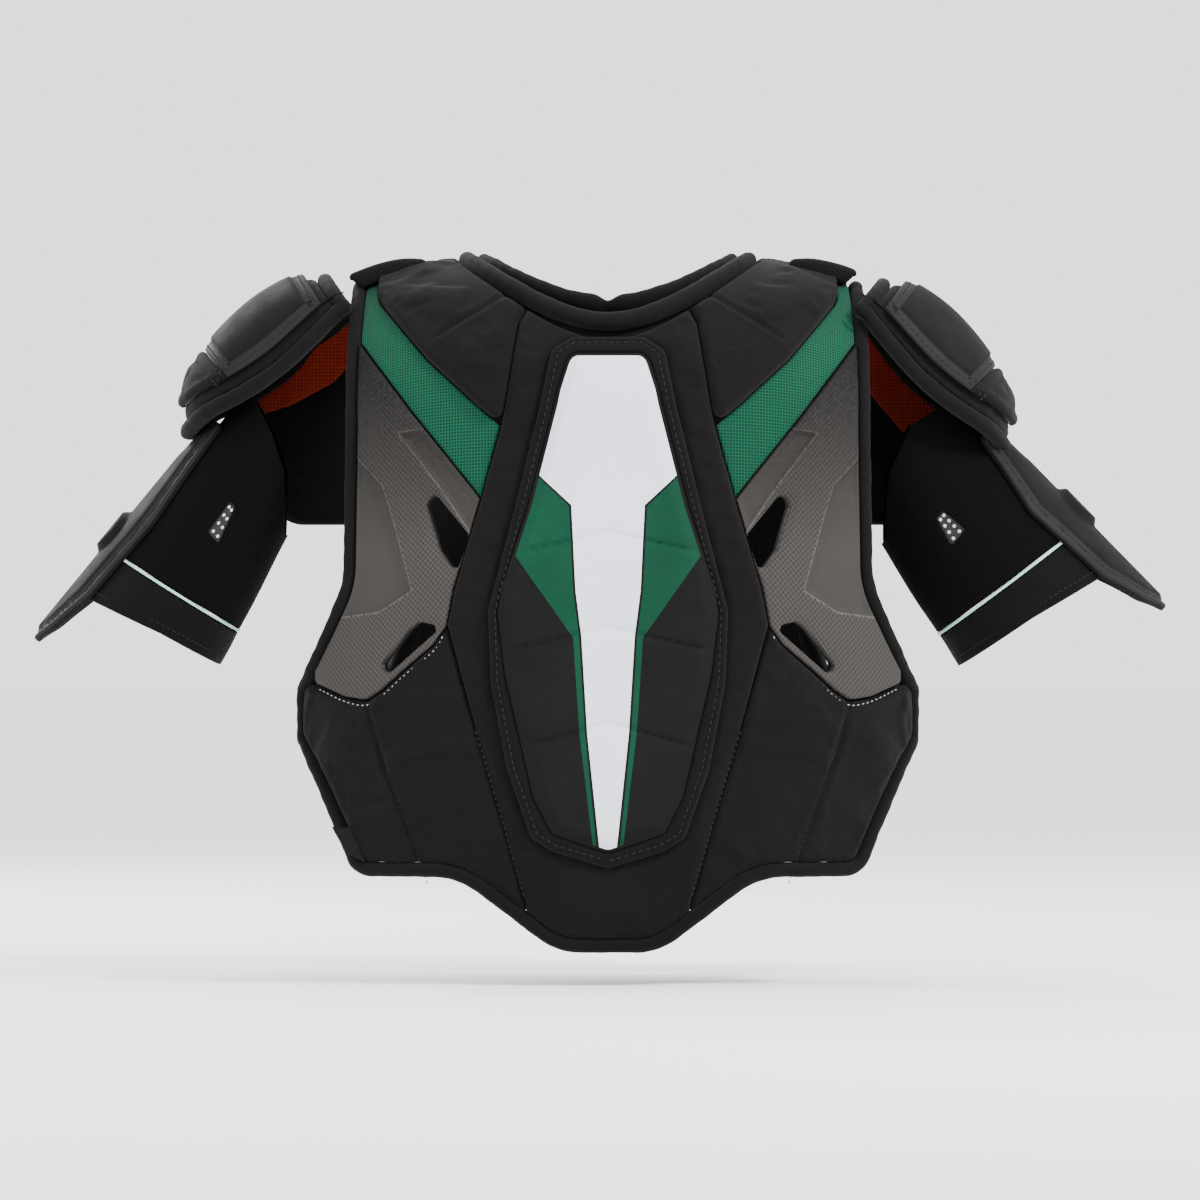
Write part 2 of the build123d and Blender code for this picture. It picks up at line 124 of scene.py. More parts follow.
def on_torso(points):
    """(x, z) outline points as (a, b) on the torso surface."""
    x, z = np.asarray(points, float)[:, :2].T
    fall = ridge_height(x) - z
    turn = np.arccos(np.clip(1 - fall / SHOULDER_DROP, -1, 1)) * SHOULDER_ARC * 2 / math.pi
    b = np.where(fall < SHOULDER_DROP, turn, SHOULDER_ARC + fall - SHOULDER_DROP)
    b = np.where(fall < 0, fall, b)
    a = HALF_GIRTH * np.arcsin(np.clip(x / HALF_GIRTH, -EDGE_SHARE, EDGE_SHARE))
    return np.stack([a, b], axis=1)


def turned(points, x, z, angle, sign):
    """From a frame whose x runs down the arm to the row frame."""
    cos, sin = math.cos(math.radians(angle)), math.sin(math.radians(angle))
    out = np.empty_like(points)
    out[:, 0] = sign * (x + points[:, 0] * cos + points[:, 2] * sin)
    out[:, 1] = points[:, 1]
    out[:, 2] = z - points[:, 0] * sin + points[:, 2] * cos
    return out


def cap_depth(u):
    return CAP_HALF_DEPTH * np.sqrt(np.maximum(1 - np.abs((u - 55) / 86) ** 4, 0.02))


def cap_droop(u):
    """How far the cap's outer end bends down past a straight one."""
    return CAP_DROOP * np.clip((u - 38) / 92, 0, 1) ** 2


def cap_surface(name):
    """a runs outward along the cap, b is arc length front to back over the crest."""
    x, z, angle = CAP_POSE[name]
    sign = SIDES[name]

    def point(a, b):
        arch = b / CAP_GIRTH * math.pi / 2
        rise = CAP_CREST * (1 - np.abs((a - 62) / 76) ** 3)
        rim = CAP_RIM - CAP_RIM_DIP * np.sin(math.pi * a / CAP_LENGTH)
        droop = cap_droop(a)
        local = np.stack([a, cap_depth(a) * np.sin(arch),
                          rim + (rise - rim) * np.cos(arch) - droop], axis=1)
        return turned(local, x, z, angle, sign)
    return Surface(point, (0, 0, 1), (60.0, 1.0))


def guard_surface(name):
    """a runs down the arm, b is arc length round the sleeve, 0 on its outer side."""
    x, z, angle, half, centre, depth = GUARD_POSE[name]
    sign = SIDES[name]

    def point(a, b, lift=0.0):
        turn = b / GUARD_GIRTH
        across = centre + GUARD_DRIFT * a + (half + GUARD_FLARE * a + lift) * np.cos(turn)
        y = (depth + GUARD_SWELL * a + lift) * np.sin(turn)
        return turned(np.stack([a + 0 * b, y, across], axis=1), x, z, angle, sign)
    return Surface(point, (sign, 0, 0.3), (50.0, 1.0))


CAP = {name: cap_surface(name) for name in SIDES}
GUARD = {name: guard_surface(name) for name in SIDES}


# ---- outlines -----------------------------------------------------------------------
def densify(points, step, closed):
    """Points along straight runs, at most a step apart."""
    points = np.asarray(points, float)
    ends = np.roll(points, -1, axis=0) if closed else points[1:]
    starts = points if closed else points[:-1]
    out = []
    for start, end in zip(starts, ends):
        count = max(1, int(math.ceil(np.linalg.norm(end - start) / step)))
        out += [start + (end - start) * k / count for k in range(count)]
    if not closed:
        out.append(points[-1])
    return np.array(out)


def rounded(points, step=2.0):
    """Closed outline; a point's third value is the radius of that corner."""
    out = []
    count = len(points)
    for i, corner in enumerate(points):
        here = np.array(corner[:2], float)
        radius = corner[2] if len(corner) > 2 else 0
        if not radius:
            out.append(here)
            continue
        back = np.array(points[i - 1][:2], float) - here
        ahead = np.array(points[(i + 1) % count][:2], float) - here
        back, ahead = back / np.linalg.norm(back), ahead / np.linalg.norm(ahead)
        half = math.acos(np.clip(back @ ahead, -1, 1)) / 2
        centre = here + (back + ahead) / np.linalg.norm(back + ahead) * radius / math.sin(half)
        first = here + back * radius / math.tan(half) - centre
        last = here + ahead * radius / math.tan(half) - centre
        turns = max(2, int(radius * (math.pi - 2 * half) / step))
        for k in range(turns + 1):
            mix = first + (last - first) * k / turns
            out.append(centre + mix / np.linalg.norm(mix) * radius)
    return densify(out, step, True)


def mirrored(points):
    """Full outline from its +X half."""
    return points + [(-p[0], *p[1:]) for p in reversed(points) if p[0] > 0]


def on_side(points, sign):
    return [(sign * p[0], *p[1:]) for p in points]


def curve(points, step=1.5):
    """Smooth open curve through a few points (Catmull-Rom)."""
    points = np.asarray(points, float)
    padded = np.vstack([2 * points[0] - points[1], points, 2 * points[-1] - points[-2]])
    out = []
    for i in range(1, len(padded) - 2):
        p0, p1, p2, p3 = padded[i - 1:i + 3]
        count = max(2, int(np.linalg.norm(p2 - p1) / step))
        for k in range(count):
            t = k / count
            out.append(0.5 * (2 * p1 + (p2 - p0) * t + (2 * p0 - 5 * p1 + 4 * p2 - p3) * t * t
                              + (3 * p1 - p0 - 3 * p2 + p3) * t ** 3))
    out.append(points[-1])
    return np.array(out)


def inside(points, loops):
    """Which points lie inside an odd number of loops."""
    x, y = points[:, 0], points[:, 1]
    odd = np.zeros(len(points), bool)
    for loop in loops:
        for (x0, y0), (x1, y1) in zip(loop, np.roll(loop, -1, axis=0)):
            if y0 == y1:
                continue
            crosses = (y0 > y) != (y1 > y)
            odd ^= crosses & (x < (x1 - x0) * (y - y0) / (y1 - y0) + x0)
    return odd


def distance(points, paths, closed=False):
    """Distance from each point to the nearest path."""
    samples = np.vstack([densify(path, 0.5, closed) for path in paths])
    tree = kdtree.KDTree(len(samples))
    for i, sample in enumerate(samples):
        tree.insert((sample[0], sample[1], 0), i)
    tree.balance()
    return np.array([tree.find((p[0], p[1], 0))[2] for p in points])


def pillow(d, height, radius):
    """Quarter-round edge that rises to a height over a radius."""
    t = np.clip(d / radius, 0, 1)
    return height * np.sqrt(1 - (1 - t) ** 2)


def looped(line):
    """A line with its first point repeated at its end."""
    return np.vstack([line, line[:1]])


def ripple(points, height, period):
    """Slow unevenness of a soft surface."""
    total = np.zeros(len(points))
    for _ in range(5):
        heading = rng.uniform(0, 2 * math.pi)
        wave = 2 * math.pi / (period * rng.uniform(0.7, 1.5))
        total += np.sin((points[:, 0] * math.cos(heading) + points[:, 1] * math.sin(heading))
                        * wave + rng.uniform(0, 6.28))
    return height * total / 5


# ---- meshes ---------------------------------------------------------------------------
def new_object(name, vertices, faces, uvs, materials, indices=None, sharp=50):
    """Mesh object from millimetre vertices, per-vertex UVs and per-face materials."""
    mesh = bpy.data.meshes.new(name)
    mesh.from_pydata((np.asarray(vertices) * MM).tolist(), [], [tuple(map(int, f)) for f in faces])
    layer = mesh.uv_layers.new(name="UVMap")
    loops = np.empty(len(mesh.loops), np.int32)
    mesh.loops.foreach_get("vertex_index", loops)
    layer.data.foreach_set("uv", (np.asarray(uvs)[loops] * MM).astype(np.float32).ravel())
    for material in materials:
        mesh.materials.append(material)
    if indices is not None:
        mesh.polygons.foreach_set("material_index", np.asarray(indices, np.int32))
    mesh.polygons.foreach_set("use_smooth", np.ones(len(mesh.polygons), bool))
    mesh.set_sharp_from_angle(angle=math.radians(sharp))
    mesh.update()
    obj = bpy.data.objects.new(name, mesh)
    bpy.context.scene.collection.objects.link(obj)
    return obj


LAID = {}                                # flat layout and edge distance of each patch


def triangulated(fixed, edges, free=()):
    """Points and counter-clockwise triangles of a constrained triangulation."""
    flat = np.vstack([*fixed, *free])
    found = delaunay_2d_cdt([Vector(p) for p in flat], edges, [], 0, 1e-4, False)
    flat = np.array([tuple(p) for p in found[0]])
    triangles = np.array([f for f in found[2] if len(f) == 3])
    first, second, third = flat[triangles[:, 0]], flat[triangles[:, 1]], flat[triangles[:, 2]]
    area = np.cross(second - first, third - first)
    triangles = triangles[np.abs(area) > 1e-5]
    area = area[np.abs(area) > 1e-5]
    triangles[area < 0] = triangles[area < 0][:, ::-1]
    return flat, triangles


def rim_edges(triangles):
    """Directed boundary edges, the kept side on their left."""
    sides = np.vstack([triangles[:, [0, 1]], triangles[:, [1, 2]], triangles[:, [2, 0]]])
    known = set(map(tuple, sides.tolist()))
    return [(i, j) for i, j in sides.tolist() if (j, i) not in known]


def chained(paths, closed):
    """Edge list of several paths whose points follow one another in one list."""
    edges = []
    start = 0
    for path in paths:
        count = len(path)
        edges += [(start + k, start + (k + 1) % count) for k in range(count if closed else count - 1)]
        start += count
    return edges


def area_of(loops, rule):
    """Loops round the area that a rule keeps, with that area on their left."""
    flat, triangles = triangulated(loops, chained(loops, True))
    triangles = triangles[rule(flat[triangles].mean(axis=1))]
    follow = dict(rim_edges(triangles))
    out = []
    while follow:
        start, here = follow.popitem()
        loop = [start]
        while here != start and here in follow:
            loop.append(here)
            here = follow.pop(here)
        loop = flat[loop]
        area = np.sum(loop[:, 0] * np.roll(loop[:, 1], -1) - np.roll(loop[:, 0], -1) * loop[:, 1])
        if abs(area) > 16:
            out.append(loop)
    return out


def moved_in(loop, step):
    """Loop moved to its left."""
    ahead = np.roll(loop, -1, axis=0) - np.roll(loop, 1, axis=0)
    ahead /= np.maximum(np.linalg.norm(ahead, axis=1)[:, None], 1e-9)
    return loop + np.stack([-ahead[:, 1], ahead[:, 0]], axis=1) * step


def shifted(surface, path, step, closed=False):
    """Path on a surface moved to its left by a real distance."""
    path = np.asarray(path, float)
    if closed:
        ahead = np.roll(path, -1, axis=0) - np.roll(path, 1, axis=0)
    else:
        ahead = np.gradient(path, axis=0)
    a, b = path.T
    h = 0.05
    across = (surface.point(a + h, b) - surface.point(a - h, b)) / (2 * h)
    along = (surface.point(a, b + h) - surface.point(a, b - h)) / (2 * h)
    tangent = across * ahead[:, :1] + along * ahead[:, 1:]
    side = np.cross(np.cross(across, along), tangent)
    side /= np.linalg.norm(side, axis=1)[:, None]
    aa, ab, bb = ((u * v).sum(axis=1) for u, v in ((across, across), (across, along), (along, along)))
    sa, sb = (side * across).sum(axis=1), (side * along).sum(axis=1)
    det = aa * bb - ab * ab
    move = np.stack([(sa * bb - sb * ab) / det, (sb * aa - sa * ab) / det], axis=1) * step
    return path + move


def patch(name, surface, loops, top, bottom, materials, spacing=2.2, creases=(), zone=None,
          edge=(0.6, 1.4, 2.6), seam=None):
    """Closed layer over an area of a surface. top and bottom give lifts from (points, d)."""
    fixed = [np.asarray(loop, float) for loop in loops]
    rims = fixed
    if seam is not None:
        rims = [loop[~seam(loop)] for loop in fixed]
    samples = [densify(loop, 0.5, seam is None) for loop in rims]
    rings = []
    for loop in fixed:
        for step in edge:
            ring = moved_in(loop, step)
            rings.append(ring[inside(ring, fixed)])
    low, high = fixed[0].min(axis=0), fixed[0].max(axis=0)
    for loop in fixed:
        low, high = np.minimum(low, loop.min(axis=0)), np.maximum(high, loop.max(axis=0))
    grid = []
    for i, row in enumerate(np.arange(low[1], high[1], spacing * 0.87)):
        columns = np.arange(low[0] + (i % 2) * spacing / 2, high[0], spacing)
        grid.append(np.stack([columns, np.full(len(columns), row)], axis=1))
    grid = np.vstack(grid)
    grid = grid[inside(grid, fixed)]
    grid = grid[distance(grid, fixed, True) > edge[-1] + spacing * 0.45]
    free = []
    for step, ring in zip(list(edge) * len(fixed), rings):
        if len(ring):
            free.append(ring[distance(ring, fixed, True) > step * 0.8])
    free = np.vstack(free + [grid])
    creases = [np.asarray(crease, float) for crease in creases]
    if creases:
        free = free[distance(free, creases) > spacing * 0.4]
    edges = chained(fixed, True)
    shift = sum(map(len, fixed))
    edges += [(i + shift, j + shift) for i, j in chained(creases, False)]
    flat, triangles = triangulated(fixed + creases, edges, [free])
    middle = flat[triangles].mean(axis=1)
    keep = inside(middle, fixed)
    triangles, middle = triangles[keep], middle[keep]
    used = np.unique(triangles)
    renumber = np.full(len(flat), -1)
    renumber[used] = np.arange(len(used))
    flat, triangles = flat[used], renumber[triangles]
    gap = distance(flat, samples)
    gap[gap < 0.05] = 0
    upper = surface.lifted(flat[:, 0], flat[:, 1], top(flat, gap))
    lower = surface.lifted(flat[:, 0], flat[:, 1], bottom(flat, gap) * np.ones(len(flat)))
    count = len(flat)
    rim = rim_edges(triangles)
    if seam is not None:
        on_seam = seam(flat)
        rim = [(i, j) for i, j in rim if not (on_seam[i] and on_seam[j])]
    walls = [(j, i, i + count, j + count) for i, j in rim]
    faces = triangles.tolist() + (triangles[:, ::-1] + count).tolist() + walls
    if surface.flips:
        faces = [face[::-1] for face in faces]
    indices = None
    if zone is not None:
        indices = np.concatenate([zone(middle), np.full(len(triangles) + len(walls),
                                                        len(materials) - 1)])
    obj = new_object(name, np.vstack([upper, lower]), faces, np.vstack([flat, flat]),
                     materials, indices)
    LAID[name] = flat, gap
    if seam is not None:
        weld(obj)
    return obj


def weld(obj, reach=0.02):
    """Merge vertices that lie on one another."""
    import bmesh
    work = bmesh.new()
    work.from_mesh(obj.data)
    bmesh.ops.remove_doubles(work, verts=work.verts, dist=reach * MM)
    work.to_mesh(obj.data)
    work.free()


def puffed(obj, seams=(), pressure=4.0, spare=0.06, limit=3.0, voxel=4.5):
    """Cloth simulation of a stuffed cover, held at its back, edge and seams and filled by pressure."""
    scene = bpy.context.scene
    flat, gap = LAID[obj.name]
    count = len(flat)
    near = distance(flat, seams) if len(seams) else np.full(count, 99.0)
    fine = np.array([vertex.co for vertex in obj.data.vertices])
    tree = kdtree.KDTree(len(fine))
    for i, place in enumerate(fine):
        tree.insert(place, i)
    tree.balance()
    work = bpy.data.objects.new("work", obj.data.copy())
    scene.collection.objects.link(work)
    bpy.ops.object.select_all(action="DESELECT")
    work.select_set(True)
    bpy.context.view_layer.objects.active = work
    work.data.remesh_voxel_size = voxel * MM
    bpy.ops.object.voxel_remesh()
    before = np.array([vertex.co for vertex in work.data.vertices])
    held = []
    for i, place in enumerate(before):
        index = tree.find(place)[1]
        if index >= count or gap[index] < 2.2 or near[index] < 2.4:
            held.append(i)
    work.vertex_groups.new(name="held").add(held, 1.0, "REPLACE")
    cloth = work.modifiers.new("cloth", "CLOTH")
    cloth.settings.quality = 5
    cloth.settings.mass = 0.12
    cloth.settings.tension_stiffness = 10
    cloth.settings.compression_stiffness = 10
    cloth.settings.shear_stiffness = 6
    cloth.settings.bending_stiffness = 0.3
    cloth.settings.use_pressure = True
    cloth.settings.uniform_pressure_force = pressure
    cloth.settings.shrink_min = -spare
    cloth.settings.vertex_group_mass = "held"
    cloth.settings.effector_weights.gravity = 0
    cloth.collision_settings.use_collision = False
    for step in range(1, 21):
        scene.frame_set(step)
    after = work.evaluated_get(bpy.context.evaluated_depsgraph_get()).data
    move = (np.array([vertex.co for vertex in after.vertices]) - before) / MM
    scene.frame_set(1)
    bpy.data.objects.remove(work)
    size = np.linalg.norm(move, axis=1)
    move *= (np.tanh(size / limit) * limit / np.maximum(size, 1e-6))[:, None]
    coarse = kdtree.KDTree(len(before))
    for i, place in enumerate(before):
        coarse.insert(place, i)
    coarse.balance()
    share = np.clip(gap / 4, 0, 1) * (1 - np.exp(-(near / 3.2) ** 2))
    for i in range(count):
        found = coarse.find_n(fine[i], 4)
        weights = np.array([1 / (hit[2] + 5e-4) for hit in found])
        drift = (move[[hit[1] for hit in found]] * weights[:, None]).sum(axis=0) / weights.sum()
        outward = np.array(obj.data.vertices[i].normal)
        sink = float(drift @ outward)
        if sink < -0.6:
            drift = drift + outward * (-0.6 - sink)
        obj.data.vertices[i].co = Vector(fine[i] + drift * share[i] * MM)
    obj.data.update()
    return obj


def frames(path, normals, closed):
    """Unit side vectors of a path lying on a surface."""
    if closed:
        ahead = np.roll(path, -1, axis=0) - np.roll(path, 1, axis=0)
    else:
        ahead = np.gradient(path, axis=0)
    side = np.cross(ahead, normals)
    return side / np.linalg.norm(side, axis=1)[:, None]


def sweep(name, path, normals, section, material, closed=False, scale=None):
    """Tape, roll or cord of one cross-section (side, lift) along a path."""
    side = frames(path, normals, closed)
    section = np.asarray(section, float)
    scale = np.ones(len(path)) if scale is None else scale
    steps = np.linalg.norm(np.diff(path, axis=0), axis=1)
    run = np.concatenate([[0], np.cumsum(steps)])
    whole = 2 * math.pi / (run[-1] + steps[-1])
    for waves in (run[-1] / 37, run[-1] / 23, run[-1] / 11):
        scale = scale * (1 + 0.012 * np.sin(whole * run * round(waves) + rng.uniform(0, 6.28)))
    points = (path[:, None] + side[:, None] * section[None, :, :1] * scale[:, None, None]
              + normals[:, None] * section[None, :, 1:] * scale[:, None, None])
    rings, around = points.shape[:2]
    along = np.concatenate([[0], np.cumsum(np.linalg.norm(np.diff(path, axis=0), axis=1))])
    girth = np.concatenate([[0], np.cumsum(np.linalg.norm(np.diff(section, axis=0), axis=1))])
    uvs = np.stack(np.meshgrid(along, girth, indexing="ij"), axis=-1).reshape(-1, 2)
    faces = []
    for i in range(rings if closed else rings - 1):
        j = (i + 1) % rings
        for k in range(around):
            m = (k + 1) % around
            faces.append((i * around + k, i * around + m, j * around + m, j * around + k))
    if not closed:
        faces.append(tuple(range(around))[::-1])
        faces.append(tuple((rings - 1) * around + k for k in range(around)))
    obj = new_object(name, points.reshape(-1, 3), faces, uvs, [material])
    fix_normals(obj)
    return obj


def fix_normals(obj):
    import bmesh
    work = bmesh.new()
    work.from_mesh(obj.data)
    bmesh.ops.recalc_face_normals(work, faces=work.faces)
    work.to_mesh(obj.data)
    work.free()


def roll_section(half_width, low, high, count=18, square=2.6):
    """Rounded section between two lifts."""
    turns = np.arange(count) * 2 * math.pi / count
    cos, sin = np.cos(turns), np.sin(turns)
    x = half_width * np.sign(cos) * np.abs(cos) ** (2 / square)
    y = (high - low) / 2 * np.sign(sin) * np.abs(sin) ** (2 / square)
    return np.stack([x, y + (high + low) / 2], axis=1)


def stitches(name, rows, material, length=2.6, pitch=4.4, radius=0.42):
    """Rows of thread stitches; each row is (surface points, normals)."""
    rings = [(-0.5, 0.35), (-0.3, 0.95), (0.3, 0.95), (0.5, 0.35)]
    vertices, faces, uvs = [], [], []
    for path, normals in rows:
        along = np.concatenate([[0], np.cumsum(np.linalg.norm(np.diff(path, axis=0), axis=1))])
        places = np.arange(pitch / 2, along[-1] - pitch / 2, pitch)
        centre = np.stack([np.interp(places, along, path[:, k]) for k in range(3)], axis=1)
        up = np.stack([np.interp(places, along, normals[:, k]) for k in range(3)], axis=1)
        ends = np.stack([np.interp(places + 0.4, along, path[:, k]) for k in range(3)], axis=1)
        ahead = ends - centre
        ahead /= np.linalg.norm(ahead, axis=1)[:, None]
        side = np.cross(ahead, up)
        jitter = rng.uniform(-0.16, 0.16, len(places))
        ahead = ahead + side * jitter[:, None]
        for c, n, t, s in zip(centre, up, ahead, side):
            start = len(vertices)
            for offset, width in rings:
                for k in range(6):
                    turn = k * math.pi / 3
                    vertices.append(c + t * offset * length + (s * math.cos(turn)
                                    + n * math.sin(turn)) * width * radius)
                    uvs.append((offset * length, k))
            for ring in range(3):
                for k in range(6):
                    m = (k + 1) % 6
                    faces.append((start + ring * 6 + k, start + ring * 6 + m,
                                  start + ring * 6 + 6 + m, start + ring * 6 + 6 + k))
            faces.append(tuple(start + k for k in range(6))[::-1])
            faces.append(tuple(start + 18 + k for k in range(6)))
    obj = new_object(name, vertices, faces, uvs, [material])
    fix_normals(obj)
    return obj


def row_on(surface, path, lift):
    """Points and normals along an (a, b) path at a lift."""
    path = np.asarray(path, float)
    normals = surface.normal(path[:, 0], path[:, 1])
    return surface.point(path[:, 0], path[:, 1]) + normals * lift, normals


def piece(obj, body, slot, *nodes, fill=None):
    """Tie a finished piece to the frame."""
    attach(obj, body)
    if nodes:
        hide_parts(*nodes)
    return obj


# ---- materials ---------------------------------------------------------------------------
class Recipe:
    """Small helper that builds one node material."""

    def __init__(self, name, roughness=0.8, sheen=0.0, specular=0.4):
        self.material = bpy.data.materials.new(name)
        self.material.use_nodes = True
        self.tree = self.material.node_tree
        self.shader = self.tree.nodes["Principled BSDF"]
        self.shader.inputs["Roughness"].default_value = roughness
        self.shader.inputs["Specular IOR Level"].default_value = specular
        self.shader.inputs["Sheen Weight"].default_value = sheen
        self.shader.inputs["Sheen Roughness"].default_value = 0.5
        uv = self.add("ShaderNodeUVMap")
        split = self.add("ShaderNodeSeparateXYZ")
        self.link(uv.outputs[0], split.inputs[0])
        self.u, self.v = split.outputs[0], split.outputs[1]
        self.place = self.add("ShaderNodeTexCoord").outputs["Object"]

    def add(self, kind, **values):
        node = self.tree.nodes.new(kind)
        for key, value in values.items():
            setattr(node, key, value)
        return node

    def link(self, source, target):
        self.tree.links.new(source, target)

    def math(self, operation, *values, clamp=False):
        node = self.add("ShaderNodeMath", operation=operation, use_clamp=clamp)
        for socket, value in zip(node.inputs, values):
            if isinstance(value, (int, float)):
                socket.default_value = value
            else:
                self.link(value, socket)
        return node.outputs[0]

    def wave(self, source, period):
        """Sine of a surface coordinate, period in millimetres."""
        return self.math("SINE", self.math("MULTIPLY", source, 2 * math.pi / (period * MM)))

    def noise(self, scale, detail=3.0, roughness=0.55):
        node = self.add("ShaderNodeTexNoise")
        node.inputs["Scale"].default_value = scale
        node.inputs["Detail"].default_value = detail
        node.inputs["Roughness"].default_value = roughness
        self.link(self.place, node.inputs["Vector"])
        return node.outputs["Fac"]

    def mix(self, factor, first, second):
        node = self.add("ShaderNodeMix", data_type="RGBA")
        colours = [s for s in node.inputs if s.type == "RGBA"]
        for socket, value in zip(colours, (first, second)):
            if isinstance(value, tuple):
                socket.default_value = (*value, 1)
            else:
                self.link(value, socket)
        self.link(factor, node.inputs[0])
        return [s for s in node.outputs if s.type == "RGBA"][0]

    def ramp(self, source, low, high):
        node = self.add("ShaderNodeMapRange", clamp=True)
        node.inputs["From Min"].default_value = low
        node.inputs["From Max"].default_value = high
        self.link(source, node.inputs["Value"])
        return node.outputs["Result"]

    def finish(self, colour, height=None, strength=0.5, depth=0.3, roughness=None):
        self.link(colour, self.shader.inputs["Base Color"])
        if roughness is not None:
            self.link(roughness, self.shader.inputs["Roughness"])
        if height is not None:
            bump = self.add("ShaderNodeBump")
            bump.inputs["Strength"].default_value = strength
            bump.inputs["Distance"].default_value = depth * MM
            self.link(height, bump.inputs["Height"])
            self.link(bump.outputs[0], self.shader.inputs["Normal"])
        return self.material


def weave(recipe, period):
    """Plain weave: 0 between threads, 1 on their crowns."""
    over = recipe.math("MULTIPLY", recipe.wave(recipe.u, period), recipe.wave(recipe.v, period))
    return recipe.math("MULTIPLY_ADD", over, 0.5, 0.5)


def knit(recipe, period):
    """Interlock knit: diagonal loops in columns."""
    lean = recipe.math("ADD", recipe.u, recipe.math("MULTIPLY", recipe.v, 0.6))
    other = recipe.math("SUBTRACT", recipe.u, recipe.math("MULTIPLY", recipe.v, 0.6))
    both = recipe.math("MULTIPLY", recipe.wave(lean, period), recipe.wave(other, period))
    return recipe.math("MULTIPLY_ADD", both, 0.5, 0.5)


def fabric(name, dark, light, period=1.3, pattern=knit, sheen=0.03, roughness=0.92, strength=0.5,
           patchy=0.35):
    """Woven or knitted cloth: thread shading, bump, slow colour drift and sheen."""
    recipe = Recipe(name, roughness, sheen, specular=0.10)
    threads = pattern(recipe, period)
    drift = recipe.ramp(recipe.noise(14), 0.35, 0.7)
    fibre = recipe.noise(900, 2.0)
    factor = recipe.math("MULTIPLY", threads, recipe.math("MULTIPLY_ADD", drift, patchy, 1 - patchy))
    factor = recipe.math("MULTIPLY", factor, recipe.math("ADD", fibre, 0.45), clamp=True)
    height = recipe.math("ADD", threads, recipe.math("MULTIPLY", fibre, 0.5))
    return recipe.finish(recipe.mix(factor, dark, light), height, strength, 0.35)


def plastic(name, dark, light, roughness=0.45, grain=260, strength=0.25, period=None):
    """Moulded shell: fine grain, scuffs in the gloss and slow colour drift."""
    recipe = Recipe(name, roughness, specular=0.10)
    fine = recipe.noise(grain, 4.0)
    drift = recipe.ramp(recipe.noise(9), 0.3, 0.75)
    height = fine
    factor = recipe.math("MULTIPLY", drift, recipe.math("ADD", fine, 0.4), clamp=True)
    if period:
        crossed = weave(recipe, period)
        height = recipe.math("ADD", recipe.math("MULTIPLY", fine, 0.4), crossed)
        factor = recipe.math("MULTIPLY", recipe.math("ADD", factor, 0.35),
                             recipe.math("MULTIPLY_ADD", crossed, 0.7, 0.3), clamp=True)
    rough = recipe.math("MULTIPLY_ADD", recipe.noise(60, 5.0), 0.3, roughness - 0.12)
    return recipe.finish(recipe.mix(factor, dark, light), height, strength, 0.25, rough)


def mesh_cloth(name, thread, gap, period=1.9, roughness=0.75, strength=0.8):
    """Open woven mesh: bright crossing threads over darker gaps."""
    recipe = Recipe(name, roughness, 0.03, specular=0.12)
    warp = recipe.math("ABSOLUTE", recipe.wave(recipe.u, period * 2))
    weft = recipe.math("ABSOLUTE", recipe.wave(recipe.v, period * 2))
    threads = recipe.ramp(recipe.math("MAXIMUM", warp, weft), 0.55, 0.95)
    drift = recipe.ramp(recipe.noise(12), 0.3, 0.7)
    colour = recipe.mix(threads, gap, thread)
    shade = recipe.mix(recipe.math("MULTIPLY", drift, 0.35), colour, tuple(c * 0.6 for c in thread))
    return recipe.finish(shade, threads, strength, 0.4)


def scapula_foam(name, shade, texture):
    """Grey moulded foam: fine crossed emboss, printed darker towards the shoulder; shade scales the whole
    colour, below 1 for a painted-shade copy and above 1 for a painted-highlight copy.
    """
    recipe = Recipe(name, 0.72, specular=0.14)
    crossed = weave(recipe, 3.6)
    grain = recipe.noise(500, 3.0)
    split = recipe.add("ShaderNodeSeparateXYZ")
    recipe.link(recipe.place, split.inputs[0])
    fade = recipe.ramp(split.outputs[2], -0.15, -0.035)
    dots = recipe.math("MULTIPLY", fade, recipe.math("ADD", grain, 0.5), clamp=True)
    base = recipe.mix(recipe.math("MULTIPLY_ADD", crossed, texture, 0.75 - texture),
                      (0.020 * shade, 0.018 * shade, 0.0165 * shade),
                      (0.056 * shade, 0.051 * shade, 0.047 * shade))
    colour = recipe.mix(dots, base, (0.0035, 0.0033, 0.0033))
    height = recipe.math("ADD", crossed, recipe.math("MULTIPLY", grain, 0.4))
    return recipe.finish(colour, height, 0.45, 0.35)


def perforated(name, dark, light, pitch=4.2, hole=0.72):
    """Stretch mesh with rows of small punched holes."""
    recipe = Recipe(name, 0.94, 0.006, specular=0.03)
    first = recipe.wave(recipe.math("ADD", recipe.u, recipe.v), pitch * 1.41)
    second = recipe.wave(recipe.math("SUBTRACT", recipe.u, recipe.v), pitch * 1.41)
    holes = recipe.ramp(recipe.math("MULTIPLY", first, second), hole, hole + 0.12)
    threads = knit(recipe, 1.1)
    cloth = recipe.mix(threads, dark, light)
    colour = recipe.mix(holes, cloth, (0.0004, 0.0004, 0.0004))
    height = recipe.math("SUBTRACT", recipe.math("MULTIPLY", threads, 0.3), holes)
    return recipe.finish(colour, height, 0.4, 0.3)


